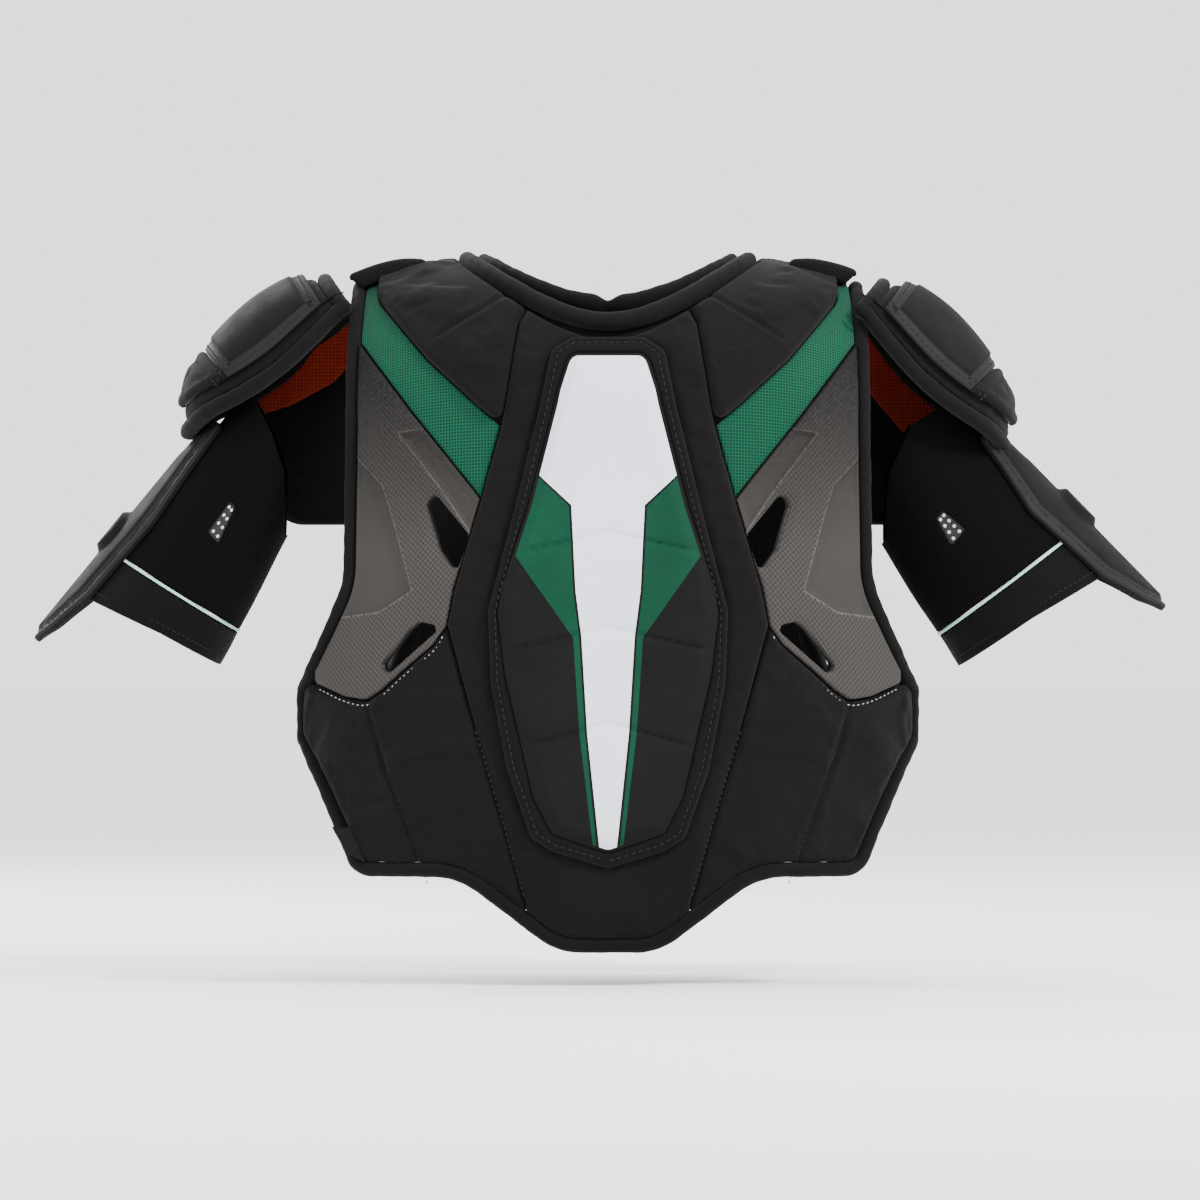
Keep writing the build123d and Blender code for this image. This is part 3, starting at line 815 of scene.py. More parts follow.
KNIT = fabric("black_knit", (0.0010, 0.0008, 0.0009), (0.0085, 0.0068, 0.0077))
LINING = fabric("lining_mesh", (0.0015, 0.0015, 0.0015), (0.012, 0.0115, 0.0115), 2.4, weave)
TAPE = fabric("binding_tape", (0.0008, 0.0007, 0.0008), (0.0075, 0.0066, 0.0072), 0.9, weave, 0.03)
ELASTIC = fabric("elastic_webbing", (0.0010, 0.0010, 0.0013), (0.0105, 0.0100, 0.0105), 1.6, weave)
FOAM = fabric("inner_foam", (0.03, 0.03, 0.032), (0.06, 0.06, 0.064), 0.8, weave, 0.1)
GREEN = mesh_cloth("green_mesh", (0.0010, 0.066, 0.032), (0.0005, 0.012, 0.008), 2.0)
ORANGE = mesh_cloth("orange_mesh", (0.21, 0.0125, 0.0012), (0.050, 0.0028, 0.0008), 2.2)
GREY = scapula_foam("grey_moulded_foam", 1.0, 0.75)
# painted shade: a darker, less textured copy of the grey foam for the pressed hollows
GREY_HOLLOW_PAINTED_SHADE = scapula_foam("grey_moulded_hollow_painted_shade", 0.72, 0.2)
# painted highlight: a lighter copy of the grey foam for a narrow line along the facet edges
GREY_RIDGE_PAINTED_HIGHLIGHT = scapula_foam("grey_moulded_ridge_painted_highlight", 1.5, 0.1)
SLEEVE = perforated("stretch_mesh", (0.0007, 0.0007, 0.0007), (0.0046, 0.0043, 0.0044))
VENT_MESH = mesh_cloth("vent_mesh", (0.035, 0.035, 0.036), (0.004, 0.004, 0.004), 1.4)
# painted light: pale spots that stand in for the backdrop's light seen through the vent's holes
VENT_PAINTED_BACKLIGHT = fabric("vent_hole_painted_backlight", (0.42, 0.42, 0.43), (0.78, 0.78, 0.79), 0.5, weave)
CUFF = fabric("cuff_knit", (0.0006, 0.0006, 0.0006), (0.0048, 0.0044, 0.0046), sheen=0.006)
MINT = fabric("mint_piping", (0.25, 0.46, 0.40), (0.50, 0.78, 0.70), 1.4, weave, 0.2)
SHELL = plastic("black_plastic_shell", (0.0015, 0.0015, 0.0015), (0.005, 0.005, 0.0052), 0.5)
CHARCOAL = plastic("charcoal_moulded_shell", (0.0018, 0.0018, 0.0019), (0.0062, 0.0061, 0.0062), 0.76,
                   period=1.8)
EDGE_GREY = plastic("edge_strip", (0.006, 0.006, 0.0062), (0.016, 0.016, 0.0165), 0.66, period=1.8)
WHITE = plastic("spine_print_white", (0.60, 0.62, 0.70), (0.74, 0.76, 0.84), 0.6, period=1.9)
SPINE_GREEN = plastic("spine_print_green", (0.0005, 0.020, 0.010), (0.0014, 0.056, 0.027), 0.66,
                      period=1.9)
SPINE_BLACK = plastic("spine_print_black", (0.0014, 0.0014, 0.0014), (0.0058, 0.0058, 0.0058), 0.7,
                      period=1.9)
THREAD = fabric("thread", (0.006, 0.006, 0.006), (0.028, 0.028, 0.028), 0.5, weave)
PALE_THREAD = fabric("pale_thread", (0.2, 0.22, 0.23), (0.42, 0.46, 0.47), 0.5, weave)

# ---- back ----------------------------------------------------------------------------------
BACK_EDGE = [(154, 60), (157.5, -171, 60), (188.5, -252, 15), (152, -351, 15),
             (91, -351, 45), (31, -397, 42)]
COFFIN = [(48, -9), (54, -19, 6), (64, -75), (76, -119), (92, -174), (96.4, -197, 6),
          (79.5, -261), (65, -311), (50, -366), (46, -400)]
FRAME_OUTER = [(21.5, -28.5, 6), (34, -35, 6), (40, -60), (56, -127), (68, -174), (71.5, -188, 8),
               (70, -232), (60.4, -285), (46, -327, 8), (33, -335, 6), (0, -345, 10)]
# pressed hollows of the scapula plate, sharp along their inner edges
SCAPULA_FACETS = [[(124, -80), (100, -113), (82, -141), (60, -110), (96, -76)],
                  [(134, -112), (130.5, -123), (117, -176), (136, -189), (182, -196), (182, -100),
                   (158, -84)]]
PLATE_OUTER = [(23.5, -37, 8), (30.5, -55), (48, -125), (64, -175), (66, -190, 5),
               (61.5, -228), (45, -302), (34, -324, 5), (0, -336, 8)]
UPPER_WINDOW = [(104, -116, 3), (109, -124, 3), (101, -152, 4), (91, -166, 3), (83, -142.5, 4)]
LOWER_WINDOW = [(99.5, -198, 3), (113, -195, 3), (119, -200, 3), (135, -221, 3),
                (133, -229, 3)]
BINDING_WIDTH = 8.6
COLLAR_CLEAR = 10.9                      # panels stay this far outside the neck opening
FIELD_INSET = 9.0                        # panels stay this far inside the free edge
COLLAR_OUTER_GROW = 5.25
COLLAR_INNER_GROW = -4.7
SHOULDER_PAD_REACH = 44.0                # front yokes end this far ahead of the ridge
ARMPIT_MIDDLE_Y = -68.0
STRAP_TILT, STRAP_TOP_X, STRAP_TOP_Z, STRAP_HEIGHT = 21.5, 186.05, -268.0, 52.0
STRAP_REAR_Y, STRAP_FRONT_Y, FLAP_X = 36.0, -50.0, 180.2
LINK_U, LINK_LOW, LINK_WIDTH = 126.0, -17.0, 26.0
TAB_START, TAB_BEND, TAB_SLOPE, TAB_CLEARANCE = (126.0, 26.8), (141.0, 23.6), -0.42, 3.5
TAB_WIDTH, TAB_REAR_Y = 26.0, 27.0
VENT = {"left": [(232, -121), (229, -125), (239, -147.5), (246, -140)],
        "right": [(206, -127), (202, -132), (211, -149), (220, -138.5)]}
VENT_RADIUS = 1.1
# lining that hangs inside the front rim of each cap
SKIRT_Y = -56.5
SKIRT = {"left": [(162, 4, 6), (153, -26, 8), (172, -46, 14), (198, -60, 14), (224, -68, 6), (226, -40)],
         "right": [(158, 0, 6), (152, -36, 8), (170, -60, 14), (186, -78, 10), (210, -84, 6), (214, -50)]}
YOKE = [(49, 60), (49, -9), (54.8, -19, 6), (64.8, -75, 5), (108, -38, 14), (138, -4, 10), (141, 60)]
INSERT = [(141.6, 60), (138.6, -4.6, 10), (108.4, -38.6, 14), (65.2, -75.8), (76.6, -119.5),
          (150, -25), (150, 60)]
SCAPULA = [(150, -26.5), (77, -120.4), (92.6, -174), (97, -197.5), (105, -209),
           (122.6, -224.5), (135.6, -237), (144, -243, 6), (156, -241, 10), (172, -233),
           (172, -100)]
WING = [(97, -199), (105, -210.2), (122.2, -225.8), (135, -238.2), (144, -244.6, 6),
        (156, -242.4, 10), (186, -230), (190, -400), (46.6, -400), (50.6, -366),
        (65.6, -311), (80.1, -261)]
CHEST_EDGE = [(0, -66), (60, -8, 8), (60, 60), (146, 60), (146, -28, 30), (127, -90, 60),
              (127, -200, 60), (150, -262, 18), (143, -315, 14), (40, -338, 60)]
STERNUM = [(0, -84), (20, -80, 8), (38, -92, 12), (46, -130), (40, -190), (22, -232, 10), (0, -240)]
PEC = [(50, -66, 6), (70, -56, 8), (126, -56, 8), (124, -120), (116, -170, 14), (96, -196, 10),
       (47, -190, 8), (53, -130)]
COLLARBONE = [(62, -6), (68, -54, 8), (140, -54, 8), (140, -16), (66, 0)]
ARMPIT = [(146, -30), (206, -42, 8), (236, -62, 12), (232, -92, 24), (213, -112, 12), (205, -135, 20),
          (156, -135, 18), (128, -84), (139, -52)]
BELLY = [(0, -244), (24, -237, 8), (44, -196, 6), (96, -200, 8), (118, -178, 8), (150, -250),
         (150, -360), (0, -360)]


def area_plain(loop):
    """A single loop as an area."""
    return area_of([loop], lambda points: inside(points, [loop]))


def y_line(side, reach):
    """Closed strip between the ridge and a plane a distance in front of or behind it."""
    xs = np.arange(-180, 181, 3.0)
    girth = (1 - np.abs(xs / HALF_GIRTH) ** SQUARENESS) ** (1 / SQUARENESS)
    b = np.arcsin(np.clip(reach / (DEPTH[side] * girth), 0, 1)) * SHOULDER_ARC * 2 / math.pi
    a = HALF_GIRTH * np.arcsin(xs / HALF_GIRTH)
    return np.vstack([np.stack([a, b], axis=1), [(a[-1], -5.0), (a[0], -5.0)]])


def plane_surface(origin, along, across, outside):
    origin, along, across = (np.array(v, float) for v in (origin, along, across))

    def point(a, b):
        return origin + a[:, None] * along + b[:, None] * across
    return Surface(point, outside)


def soft_relief(points, d):
    return ripple(points, 0.35, 40) * np.clip(d / 8, 0, 1)


RIDGE_B = 0.4                            # the seam between back and chest, along the ridge


def torso_loop(points):
    """Outline in the XZ plane as a loop on the torso surface."""
    return on_torso(rounded(points))


def neck_loop(grow, side):
    """The neck column's edge on the torso, closed across the ridge."""
    turns = np.linspace(0, math.pi, 90) * side
    x = (NECK_HALF_WIDTH + grow) * np.cos(turns)
    y = (NECK_CENTRE_Y + (NECK_HALF_DEPTH + grow) * np.sin(turns)) * side
    girth = (1 - np.abs(x / HALF_GIRTH) ** SQUARENESS) ** (1 / SQUARENESS)
    b = np.arcsin(np.clip(y / (DEPTH[side] * girth), -0.05, 1)) * SHOULDER_ARC * 2 / math.pi
    a = HALF_GIRTH * np.arcsin(x / HALF_GIRTH)
    loop = np.stack([a, b], axis=1)
    return np.vstack([loop, [(a[-1], -10), (a[0], -10)]])


def within(*fields, without=()):
    """Rule that keeps what lies in every field and in none of the cut-outs."""
    def rule(points):
        keep = points[:, 1] > RIDGE_B
        for field in fields:
            keep &= inside(points, [field])
        for hole in without:
            keep &= ~inside(points, [hole])
        return keep
    return rule


def ridge_line(reach=200.0):
    """A strip along the ridge that bounds every panel there."""
    xs = np.arange(-reach, reach + 1, 4.0)
    return np.vstack([np.stack([xs, np.full(len(xs), RIDGE_B)], axis=1),
                      [(reach, -20.0), (-reach, -20.0)]])


def panel_area(side, outline, field, without=(), neck=COLLAR_CLEAR):
    loop = torso_loop(outline)
    hole = neck_loop(neck, side)
    holes = [torso_loop(hole_points) for hole_points in without]
    return area_of([loop, field, hole, ridge_line(), *holes],
                   within(loop, field, without=[hole, *holes]))


def cushion(low, high, radius=4.0, crown=0.0, relief=None):
    """Upper face of a soft layer: rounded edge, slight crown, sewn or pressed relief."""
    def top(points, d):
        lift = high - radius - crown + pillow(d, radius, radius)
        lift = lift + crown * (1 - np.exp(-d / 9))
        if relief is not None:
            lift = lift + relief(points, d)
        return np.maximum(lift, low + 0.6)
    return top


def flat(lift):
    return lambda points, d: np.full(len(points), float(lift))


def inward(side, loop, step):
    """Closed loop on the torso moved inward by a real distance."""
    area = np.sum(loop[:, 0] * np.roll(loop[:, 1], -1) - np.roll(loop[:, 0], -1) * loop[:, 1])
    return shifted(TORSO[side], loop if area > 0 else loop[::-1], step, True)


def free_runs(side, loop, step):
    """Stretches of an area's edge off the ridge, moved inward by a real distance."""
    free = loop[:, 1] > RIDGE_B + 0.05
    first = int(np.argmin(free))
    loop, free = np.roll(loop, -first, axis=0), np.roll(free, -first)
    runs, run = [], []
    for point, ok in zip(loop, free):
        if ok:
            run.append(point)
        elif run:
            runs.append(run)
            run = []
    if run:
        runs.append(run)
    out = []
    for run in runs:
        path = densify(np.array([(run[0][0], RIDGE_B), *run, (run[-1][0], RIDGE_B)]), 2.4, False)
        path = shifted(TORSO[side], path, step)
        path[0][1] = path[-1][1] = RIDGE_B
        out.append(path)
    return out


def edge_tape(name, side, path, width, low, high, material):
    """Rolled tape along a panel's free edge."""
    surface = TORSO[side]
    a, b = path.T
    return sweep(name, surface.point(a, b), surface.normal(a, b),
                 roll_section(width / 2, low, high, 20, 2.4), material)


back_silhouette = torso_loop(mirrored(BACK_EDGE))
chest_silhouette = torso_loop(mirrored(CHEST_EDGE))
BACK_FIELD = inward(1, back_silhouette, FIELD_INSET)
CHEST_FIELD = inward(-1, chest_silhouette, FIELD_INSET)

# ---- back ------------------------------------------------------------------------------------
back = TORSO[1]
windows = [on_side(window, sign) for window in (UPPER_WINDOW, LOWER_WINDOW) for sign in (1, -1)]
liner = area_of([BACK_FIELD, neck_loop(0, 1), ridge_line(), *map(torso_loop, windows)],
                within(BACK_FIELD, without=[neck_loop(0, 1), *map(torso_loop, windows)]))


def liner_zone(middle):
    return np.zeros(len(middle), int)


obj = patch("visual_back_liner", back, liner, cushion(0, 5, 1.6), flat(0), [KNIT, LINING], 3.4,
            zone=liner_zone)
piece(obj, "back", "lining_mesh", "back_liner", fill=0.5)
back_rim = area_of([back_silhouette, ridge_line()], within(back_silhouette))[0]
for path in free_runs(1, back_rim, BINDING_WIDTH / 2):
    obj = edge_tape("visual_back_binding", 1, path, BINDING_WIDTH + 0.6, -1.5, 12.0, TAPE)
    piece(obj, "back", "binding_tape", "back_binding", fill=0.8)

coffin = mirrored(COFFIN)
coffin_area = panel_area(1, coffin, BACK_FIELD)
frame_loop = torso_loop(mirrored(FRAME_OUTER))
coffin_seam = [on_torso(densify(on_side(seam, sign), 2, False))
               for seam in ([(79.5, -261), (65, -311), (50, -365)],) for sign in (1, -1)]


def coffin_relief(points, d):
    rise = -1.1 * np.exp(-(distance(points, [frame_loop], True) / 2.2) ** 2)
    return rise + ripple(points, 0.25, 70) * np.clip(d / 8, 0, 1)


obj = patch("visual_centre_back_pad", back, coffin_area, cushion(5.4, 12.9, 4.2, 0.8, coffin_relief),
            flat(5.4), [KNIT])
puffed(obj, [looped(frame_loop)], 3.0, limit=1.6)
piece(obj, "back", "black_knit", "centre_back_pad", fill=0.7)

plate_loop = torso_loop(mirrored(PLATE_OUTER))
frame_area = area_of([frame_loop, plate_loop], within(frame_loop, without=[plate_loop]))
frame_middle = [moved_in(area_of([frame_loop], within(frame_loop))[0], 4.4)]


def frame_relief(points, d):
    return -0.7 * np.exp(-(distance(points, frame_middle, True) / 0.9) ** 2)


obj = patch("visual_spine_frame", back, frame_area, cushion(12.6, 17.0, 2.6, 0, frame_relief),
            flat(12.4), [TAPE], 1.6)
piece(obj, "back", "binding_tape", "spine_frame", fill=0.8)
obj = stitches("visual_spine_frame_stitches", [row_on(back, looped(frame_middle[0]), 16.75)],
               THREAD, 3.0, 4.6, 0.45)
piece(obj, "back", "binding_tape")

WHITE_EDGE = [(24.2, -36), (31.5, -55), (43.6, -103.5), (22, -124), (19.5, -176), (16, -204),
              (12.5, -263), (5, -335)]
GREEN_EDGE = [(44, -104.5), (57, -152), (21, -204.5), (17.2, -263), (8.6, -336), (6.6, -336),
              (13.9, -263), (17.4, -204.3), (20.9, -176), (23.4, -124.6)]
white_loop = torso_loop([(0, -36), *WHITE_EDGE, (0, -338)] + [(-x, z) for x, z in reversed(WHITE_EDGE)])
green_loops = [torso_loop(on_side(GREEN_EDGE, sign)) for sign in (1, -1)]
PRINT_EDGE = 2.2                          # unprinted edge of the moulded plate
chevrons = [on_torso(densify([(-54, -152), (-30, -147), (0, -140), (30, -147), (54, -152)], 2, False)),
            on_torso(densify([(-60, -212), (-30, -205), (0, -198), (30, -205), (60, -212)], 2, False)),
            on_torso(densify([(-50, -271), (-28, -264), (0, -256), (28, -264), (50, -271)], 2, False))]
plate_area = area_of([plate_loop], within(plate_loop))
plate_rim = moved_in(plate_area[0], PRINT_EDGE)


def plate_zone(middle):
    index = np.full(len(middle), 2)
    index[inside(middle, [green_loops[0]]) | inside(middle, [green_loops[1]])] = 1
    index[inside(middle, [white_loop])] = 0
    index[~inside(middle, [plate_rim])] = 2
    return index


def plate_top(points, d):
    bevel = np.clip((d - 1.4) / 6.5, 0, 1)
    lift = 16.2 + 0.8 * pillow(d, 1, 1.2) + 3.4 * bevel
    for line in chevrons:
        gap = distance(points, [line])
        lift -= 1.5 * np.exp(-(gap / 1.5) ** 2) * np.clip(d / 9, 0, 1)
        lift -= 0.9 * np.exp(-gap / 8) * np.clip(d / 9, 0, 1)
    return lift


obj = patch("visual_spine_plate", back, plate_area, plate_top, flat(13.2),
            [WHITE, SPINE_GREEN, SPINE_BLACK], 1.7,
            [looped(white_loop), *[looped(g) for g in green_loops],
             looped(plate_rim)], plate_zone, edge=(0.5, 1.2))
piece(obj, "back", "spine_print", "spine_plate", "spine_foam")

for name, sign in SIDES.items():
    emboss = on_torso(densify(on_side([(57, -2), (102.5, -27.5)], sign), 1.5, False))

    def yoke_relief(points, d, emboss=emboss):
        return (-1.8 * np.exp(-(distance(points, [emboss]) / 1.8) ** 2)
                + ripple(points, 0.35, 40) * np.clip(d / 8, 0, 1))

    obj = patch("visual_yoke_pad_" + name, back, panel_area(1, on_side(YOKE, sign), BACK_FIELD),
                cushion(5.4, 14.8, 5.5, 1.2, yoke_relief), flat(5.4), [KNIT])
    puffed(obj, [emboss])
    piece(obj, "back", "black_knit", "yoke_pad_" + name, fill=0.8)

    def insert_relief(points, d):
        return ripple(points, 0.2, 45) * np.clip(d / 8, 0, 1)

    obj = patch("visual_mesh_insert_" + name, back, panel_area(1, on_side(INSERT, sign), BACK_FIELD),
                cushion(5.2, 8.8, 1.2, 0.4, insert_relief), flat(5.2), [GREEN])
    piece(obj, "back", "green_mesh", "mesh_insert_" + name, fill=0.5)

    scapula_area = panel_area(1, on_side(SCAPULA, sign), BACK_FIELD,
                              [on_side(UPPER_WINDOW, sign), on_side(LOWER_WINDOW, sign)])
    shelf = [torso_loop(on_side(window, sign)) for window in (UPPER_WINDOW, LOWER_WINDOW)]
    facets = [torso_loop(on_side(facet, sign)) for facet in SCAPULA_FACETS]
    facet_lines = [looped(facet) for facet in facets]

    def scapula_relief(points, d, facets=facets, lines=facet_lines, shelf=shelf):
        rise = np.zeros(len(points))
        for facet, line in zip(facets, lines):
            apart = distance(points, [line])
            rise += np.where(inside(points, [facet]), -2.6, 0.7) * (1 - np.exp(-apart / 1.1)) \
                * np.exp(-apart / 30)
        hollow = distance(points, shelf, True)
        rise -= 1.6 * np.exp(-(hollow / 3.2) ** 2)
        return rise * np.clip(d / 4, 0, 1)

    def scapula_zone(middle, facets=facets, lines=facet_lines):
        index = np.zeros(len(middle), int)
        for facet, line in zip(facets, lines):
            within_facet = inside(middle, [facet])
            # zone 1 paints shade into the pressed hollows
            index[within_facet] = 1
            # zone 2 paints a highlight in a narrow band just outside each hollow
            index[~within_facet & (distance(middle, [line]) < 0.9)] = 2
        return index

    obj = patch("visual_scapula_plate_" + name, back, scapula_area,
                cushion(5.2, 11.4, 1.5, 0.5, scapula_relief), flat(5.2),
                [GREY, GREY_HOLLOW_PAINTED_SHADE, GREY_RIDGE_PAINTED_HIGHLIGHT, GREY], 1.7, facet_lines, scapula_zone)
    piece(obj, "back", "grey_moulded_foam", "scapula_plate_" + name, fill=0.9)

    quilt = on_torso(curve(on_side([(143.5, -245), (133, -283), (113.5, -339), (108, -356)], sign)))
    wing_area = panel_area(1, on_side(WING, sign), BACK_FIELD)

    def wing_relief(points, d, quilt=quilt):
        return (-1.9 * np.exp(-(distance(points, [quilt]) / 2.2) ** 2)
                + ripple(points, 0.45, 55) * np.clip(d / 9, 0, 1))

    obj = patch("visual_back_wing_" + name, back, wing_area, cushion(5.3, 12.0, 3.6, 1.0, wing_relief),
                flat(5.3), [KNIT])
    puffed(obj, [quilt], limit=2.4)
    piece(obj, "back", "black_knit", "back_wing_" + name, fill=0.7)

    lace = on_torso(curve(on_side([(170, -236.5), (156, -243.8), (144, -246.2), (134.5, -240.5),
                                   (121.6, -228), (104, -212.6), (98.5, -203)], sign)))
    obj = stitches("visual_wing_stitches_" + name, [row_on(back, lace, 10.6)], PALE_THREAD,
                   1.6, 3.4, 0.38)
    piece(obj, "back", "black_knit")
    seams = [row_on(back, quilt, 10.0), row_on(back, coffin_seam[0 if sign > 0 else 1], 11.6)]
    obj = stitches("visual_wing_seams_" + name, seams, THREAD, 2.4, 3.8, 0.35)
    piece(obj, "back", "black_knit")

tag = area_of([torso_loop([(162, -321), (152, -321), (144, -342), (154, -337)])],
              lambda points: points[:, 1] > 0)
obj = patch("visual_corner_tag", back, tag, cushion(11.2, 12.9, 0.5), flat(11.0),
            [ELASTIC], 1.6, edge=(0.5,))
piece(obj, "back", "elastic_webbing")

anchor_lift = (-2.6, -0.4)
for name, sign in SIDES.items():
    anchor = torso_loop(on_side([(140, -276, 3), (166, -276, 3), (156, -312, 3), (140, -312, 3)], sign))
    obj = patch("visual_strap_anchor_" + name, back, area_of([anchor], within(anchor)),
                flat(anchor_lift[1]), lambda p, d: anchor_lift[0] + 0.6 - pillow(d, 0.6, 1.2),
                [ELASTIC], 2.0, edge=(0.5,))
    piece(obj, "back", "elastic_webbing", "strap_anchors")

# ---- collar -------------------------------------------------------------------------------------


def collar_roll(name, grow, half_width, low, high, notch=False):
    """Padded roll round the back of the neck."""
    turns = np.linspace(0.075, math.pi - 0.075, 150)
    x = (NECK_HALF_WIDTH + grow) * np.cos(turns)
    y = NECK_CENTRE_Y + (NECK_HALF_DEPTH + grow) * np.sin(turns)
    girth = (1 - np.abs(x / HALF_GIRTH) ** SQUARENESS) ** (1 / SQUARENESS)
    b = np.arcsin(np.clip(y / (DEPTH[1] * girth), 0.001, 1)) * SHOULDER_ARC * 2 / math.pi
    a = HALF_GIRTH * np.arcsin(x / HALF_GIRTH)
    keep = y > 1.2
    a, b = a[keep], b[keep]
    path, normals = back.point(a, b), back.normal(a, b)
    scale = np.ones(len(path))
    if notch:
        scale = 1 - 0.45 * np.exp(-(path[:, 0] / 5.0) ** 2)
    ends = np.minimum(np.arange(len(path)), np.arange(len(path))[::-1])
    scale = scale * (0.55 + 0.45 * np.sqrt(np.clip(ends / 4, 0, 1)))
    section = roll_section(half_width, low, high, 24, 2.2)
    middle = (low + high) / 2
    section[:, 1] -= middle
    return sweep(name, path + normals * middle, normals, section, KNIT, scale=scale)


obj = collar_roll("visual_collar_outer", COLLAR_OUTER_GROW, 5.3, 5.0, 17.5)
piece(obj, "back", "binding_tape", "collar_outer_roll", fill=0.9)
obj = collar_roll("visual_collar_inner", COLLAR_INNER_GROW, 4.9, -3.0, 15.8, True)
piece(obj, "back", "binding_tape", "collar_inner_roll", fill=0.9)

# ---- chest ---------------------------------------------------------------------------------------
chest = TORSO[-1]
chest_neck = neck_loop(0, -1)
obj = patch("visual_chest_liner", chest,
            area_of([CHEST_FIELD, chest_neck, ridge_line()], within(CHEST_FIELD, without=[chest_neck])),
            cushion(0, 5, 1.6), flat(0), [KNIT, LINING], 3.4, zone=liner_zone)
piece(obj, "chest", "lining_mesh", "chest_liner", fill=0.5)


chest_rim = area_of([chest_silhouette, chest_neck, ridge_line()],
                    within(chest_silhouette, without=[chest_neck]))[0]
for number, path in enumerate(free_runs(-1, chest_rim, BINDING_WIDTH / 2)):
    obj = edge_tape(f"visual_chest_binding_{number}", -1, path, BINDING_WIDTH + 0.6, -1.5, 11.5, TAPE)
    piece(obj, "chest", "binding_tape", "chest_binding", fill=0.8)

CHEST_EDGE_CLEAR = 8.0
sternum = panel_area(-1, mirrored(STERNUM), CHEST_FIELD, neck=CHEST_EDGE_CLEAR)
obj = patch("visual_sternum_foam", chest, sternum, cushion(5.3, 11.4, 2.2), flat(5.3), [FOAM])
piece(obj, "chest", "inner_foam", "sternum_foam", fill=0.9)
sternum_plate = [moved_in(loop, 3.2) for loop in sternum]
sternum_lines = [on_torso(densify([(-46, -118), (0, -106), (46, -118)], 2, False)),
                 on_torso(densify([(-44, -168), (0, -156), (44, -168)], 2, False)),
                 on_torso(densify([(-38, -210), (0, -198), (38, -210)], 2, False))]


def sternum_top(points, d):
    bevel = np.clip((d - 1.0) / 7.0, 0, 1)
    lift = 12.6 + pillow(d, 0.9, 1.1) + 2.2 * (bevel * bevel * (3 - 2 * bevel))
    for line in sternum_lines:
        gap = distance(points, [line])
        lift -= (0.7 * np.exp(-(gap / 1.7) ** 2) + 0.4 * np.exp(-gap / 8)) * np.clip(d / 8, 0, 1)
    return lift


obj = patch("visual_sternum_plate", chest, sternum_plate, sternum_top, flat(11.5), [CHARCOAL], 1.9)
piece(obj, "chest", "black_plastic_shell", "sternum_plate")

belly_quilts = [on_torso(densify([(-150, -300), (150, -300)], 2, False)),
                on_torso(densify([(-150, -268), (150, -268)], 2, False)),
                on_torso(curve([(-58, -200), (-52, -250), (-46, -340)])),
                on_torso(curve([(58, -200), (52, -250), (46, -340)]))]


def belly_relief(points, d):
    return (-1.9 * np.exp(-(distance(points, belly_quilts) / 2.2) ** 2)
            + ripple(points, 0.4, 60) * np.clip(d / 9, 0, 1))


belly = panel_area(-1, mirrored(BELLY), CHEST_FIELD, neck=CHEST_EDGE_CLEAR)
obj = patch("visual_belly_pad", chest, belly, cushion(5.3, 12.0, 3.6, 1.0, belly_relief), flat(5.3),
            [KNIT])
puffed(obj, belly_quilts, limit=2.4)
piece(obj, "chest", "black_knit", "belly_pad", fill=0.7)
seams = [row_on(chest, line[inside(line, belly)], 10.2) for line in belly_quilts]
obj = stitches("visual_belly_seams", [seam for seam in seams if len(seam[0]) > 4], THREAD, 2.4, 3.8,
               0.35)
piece(obj, "chest", "black_knit")

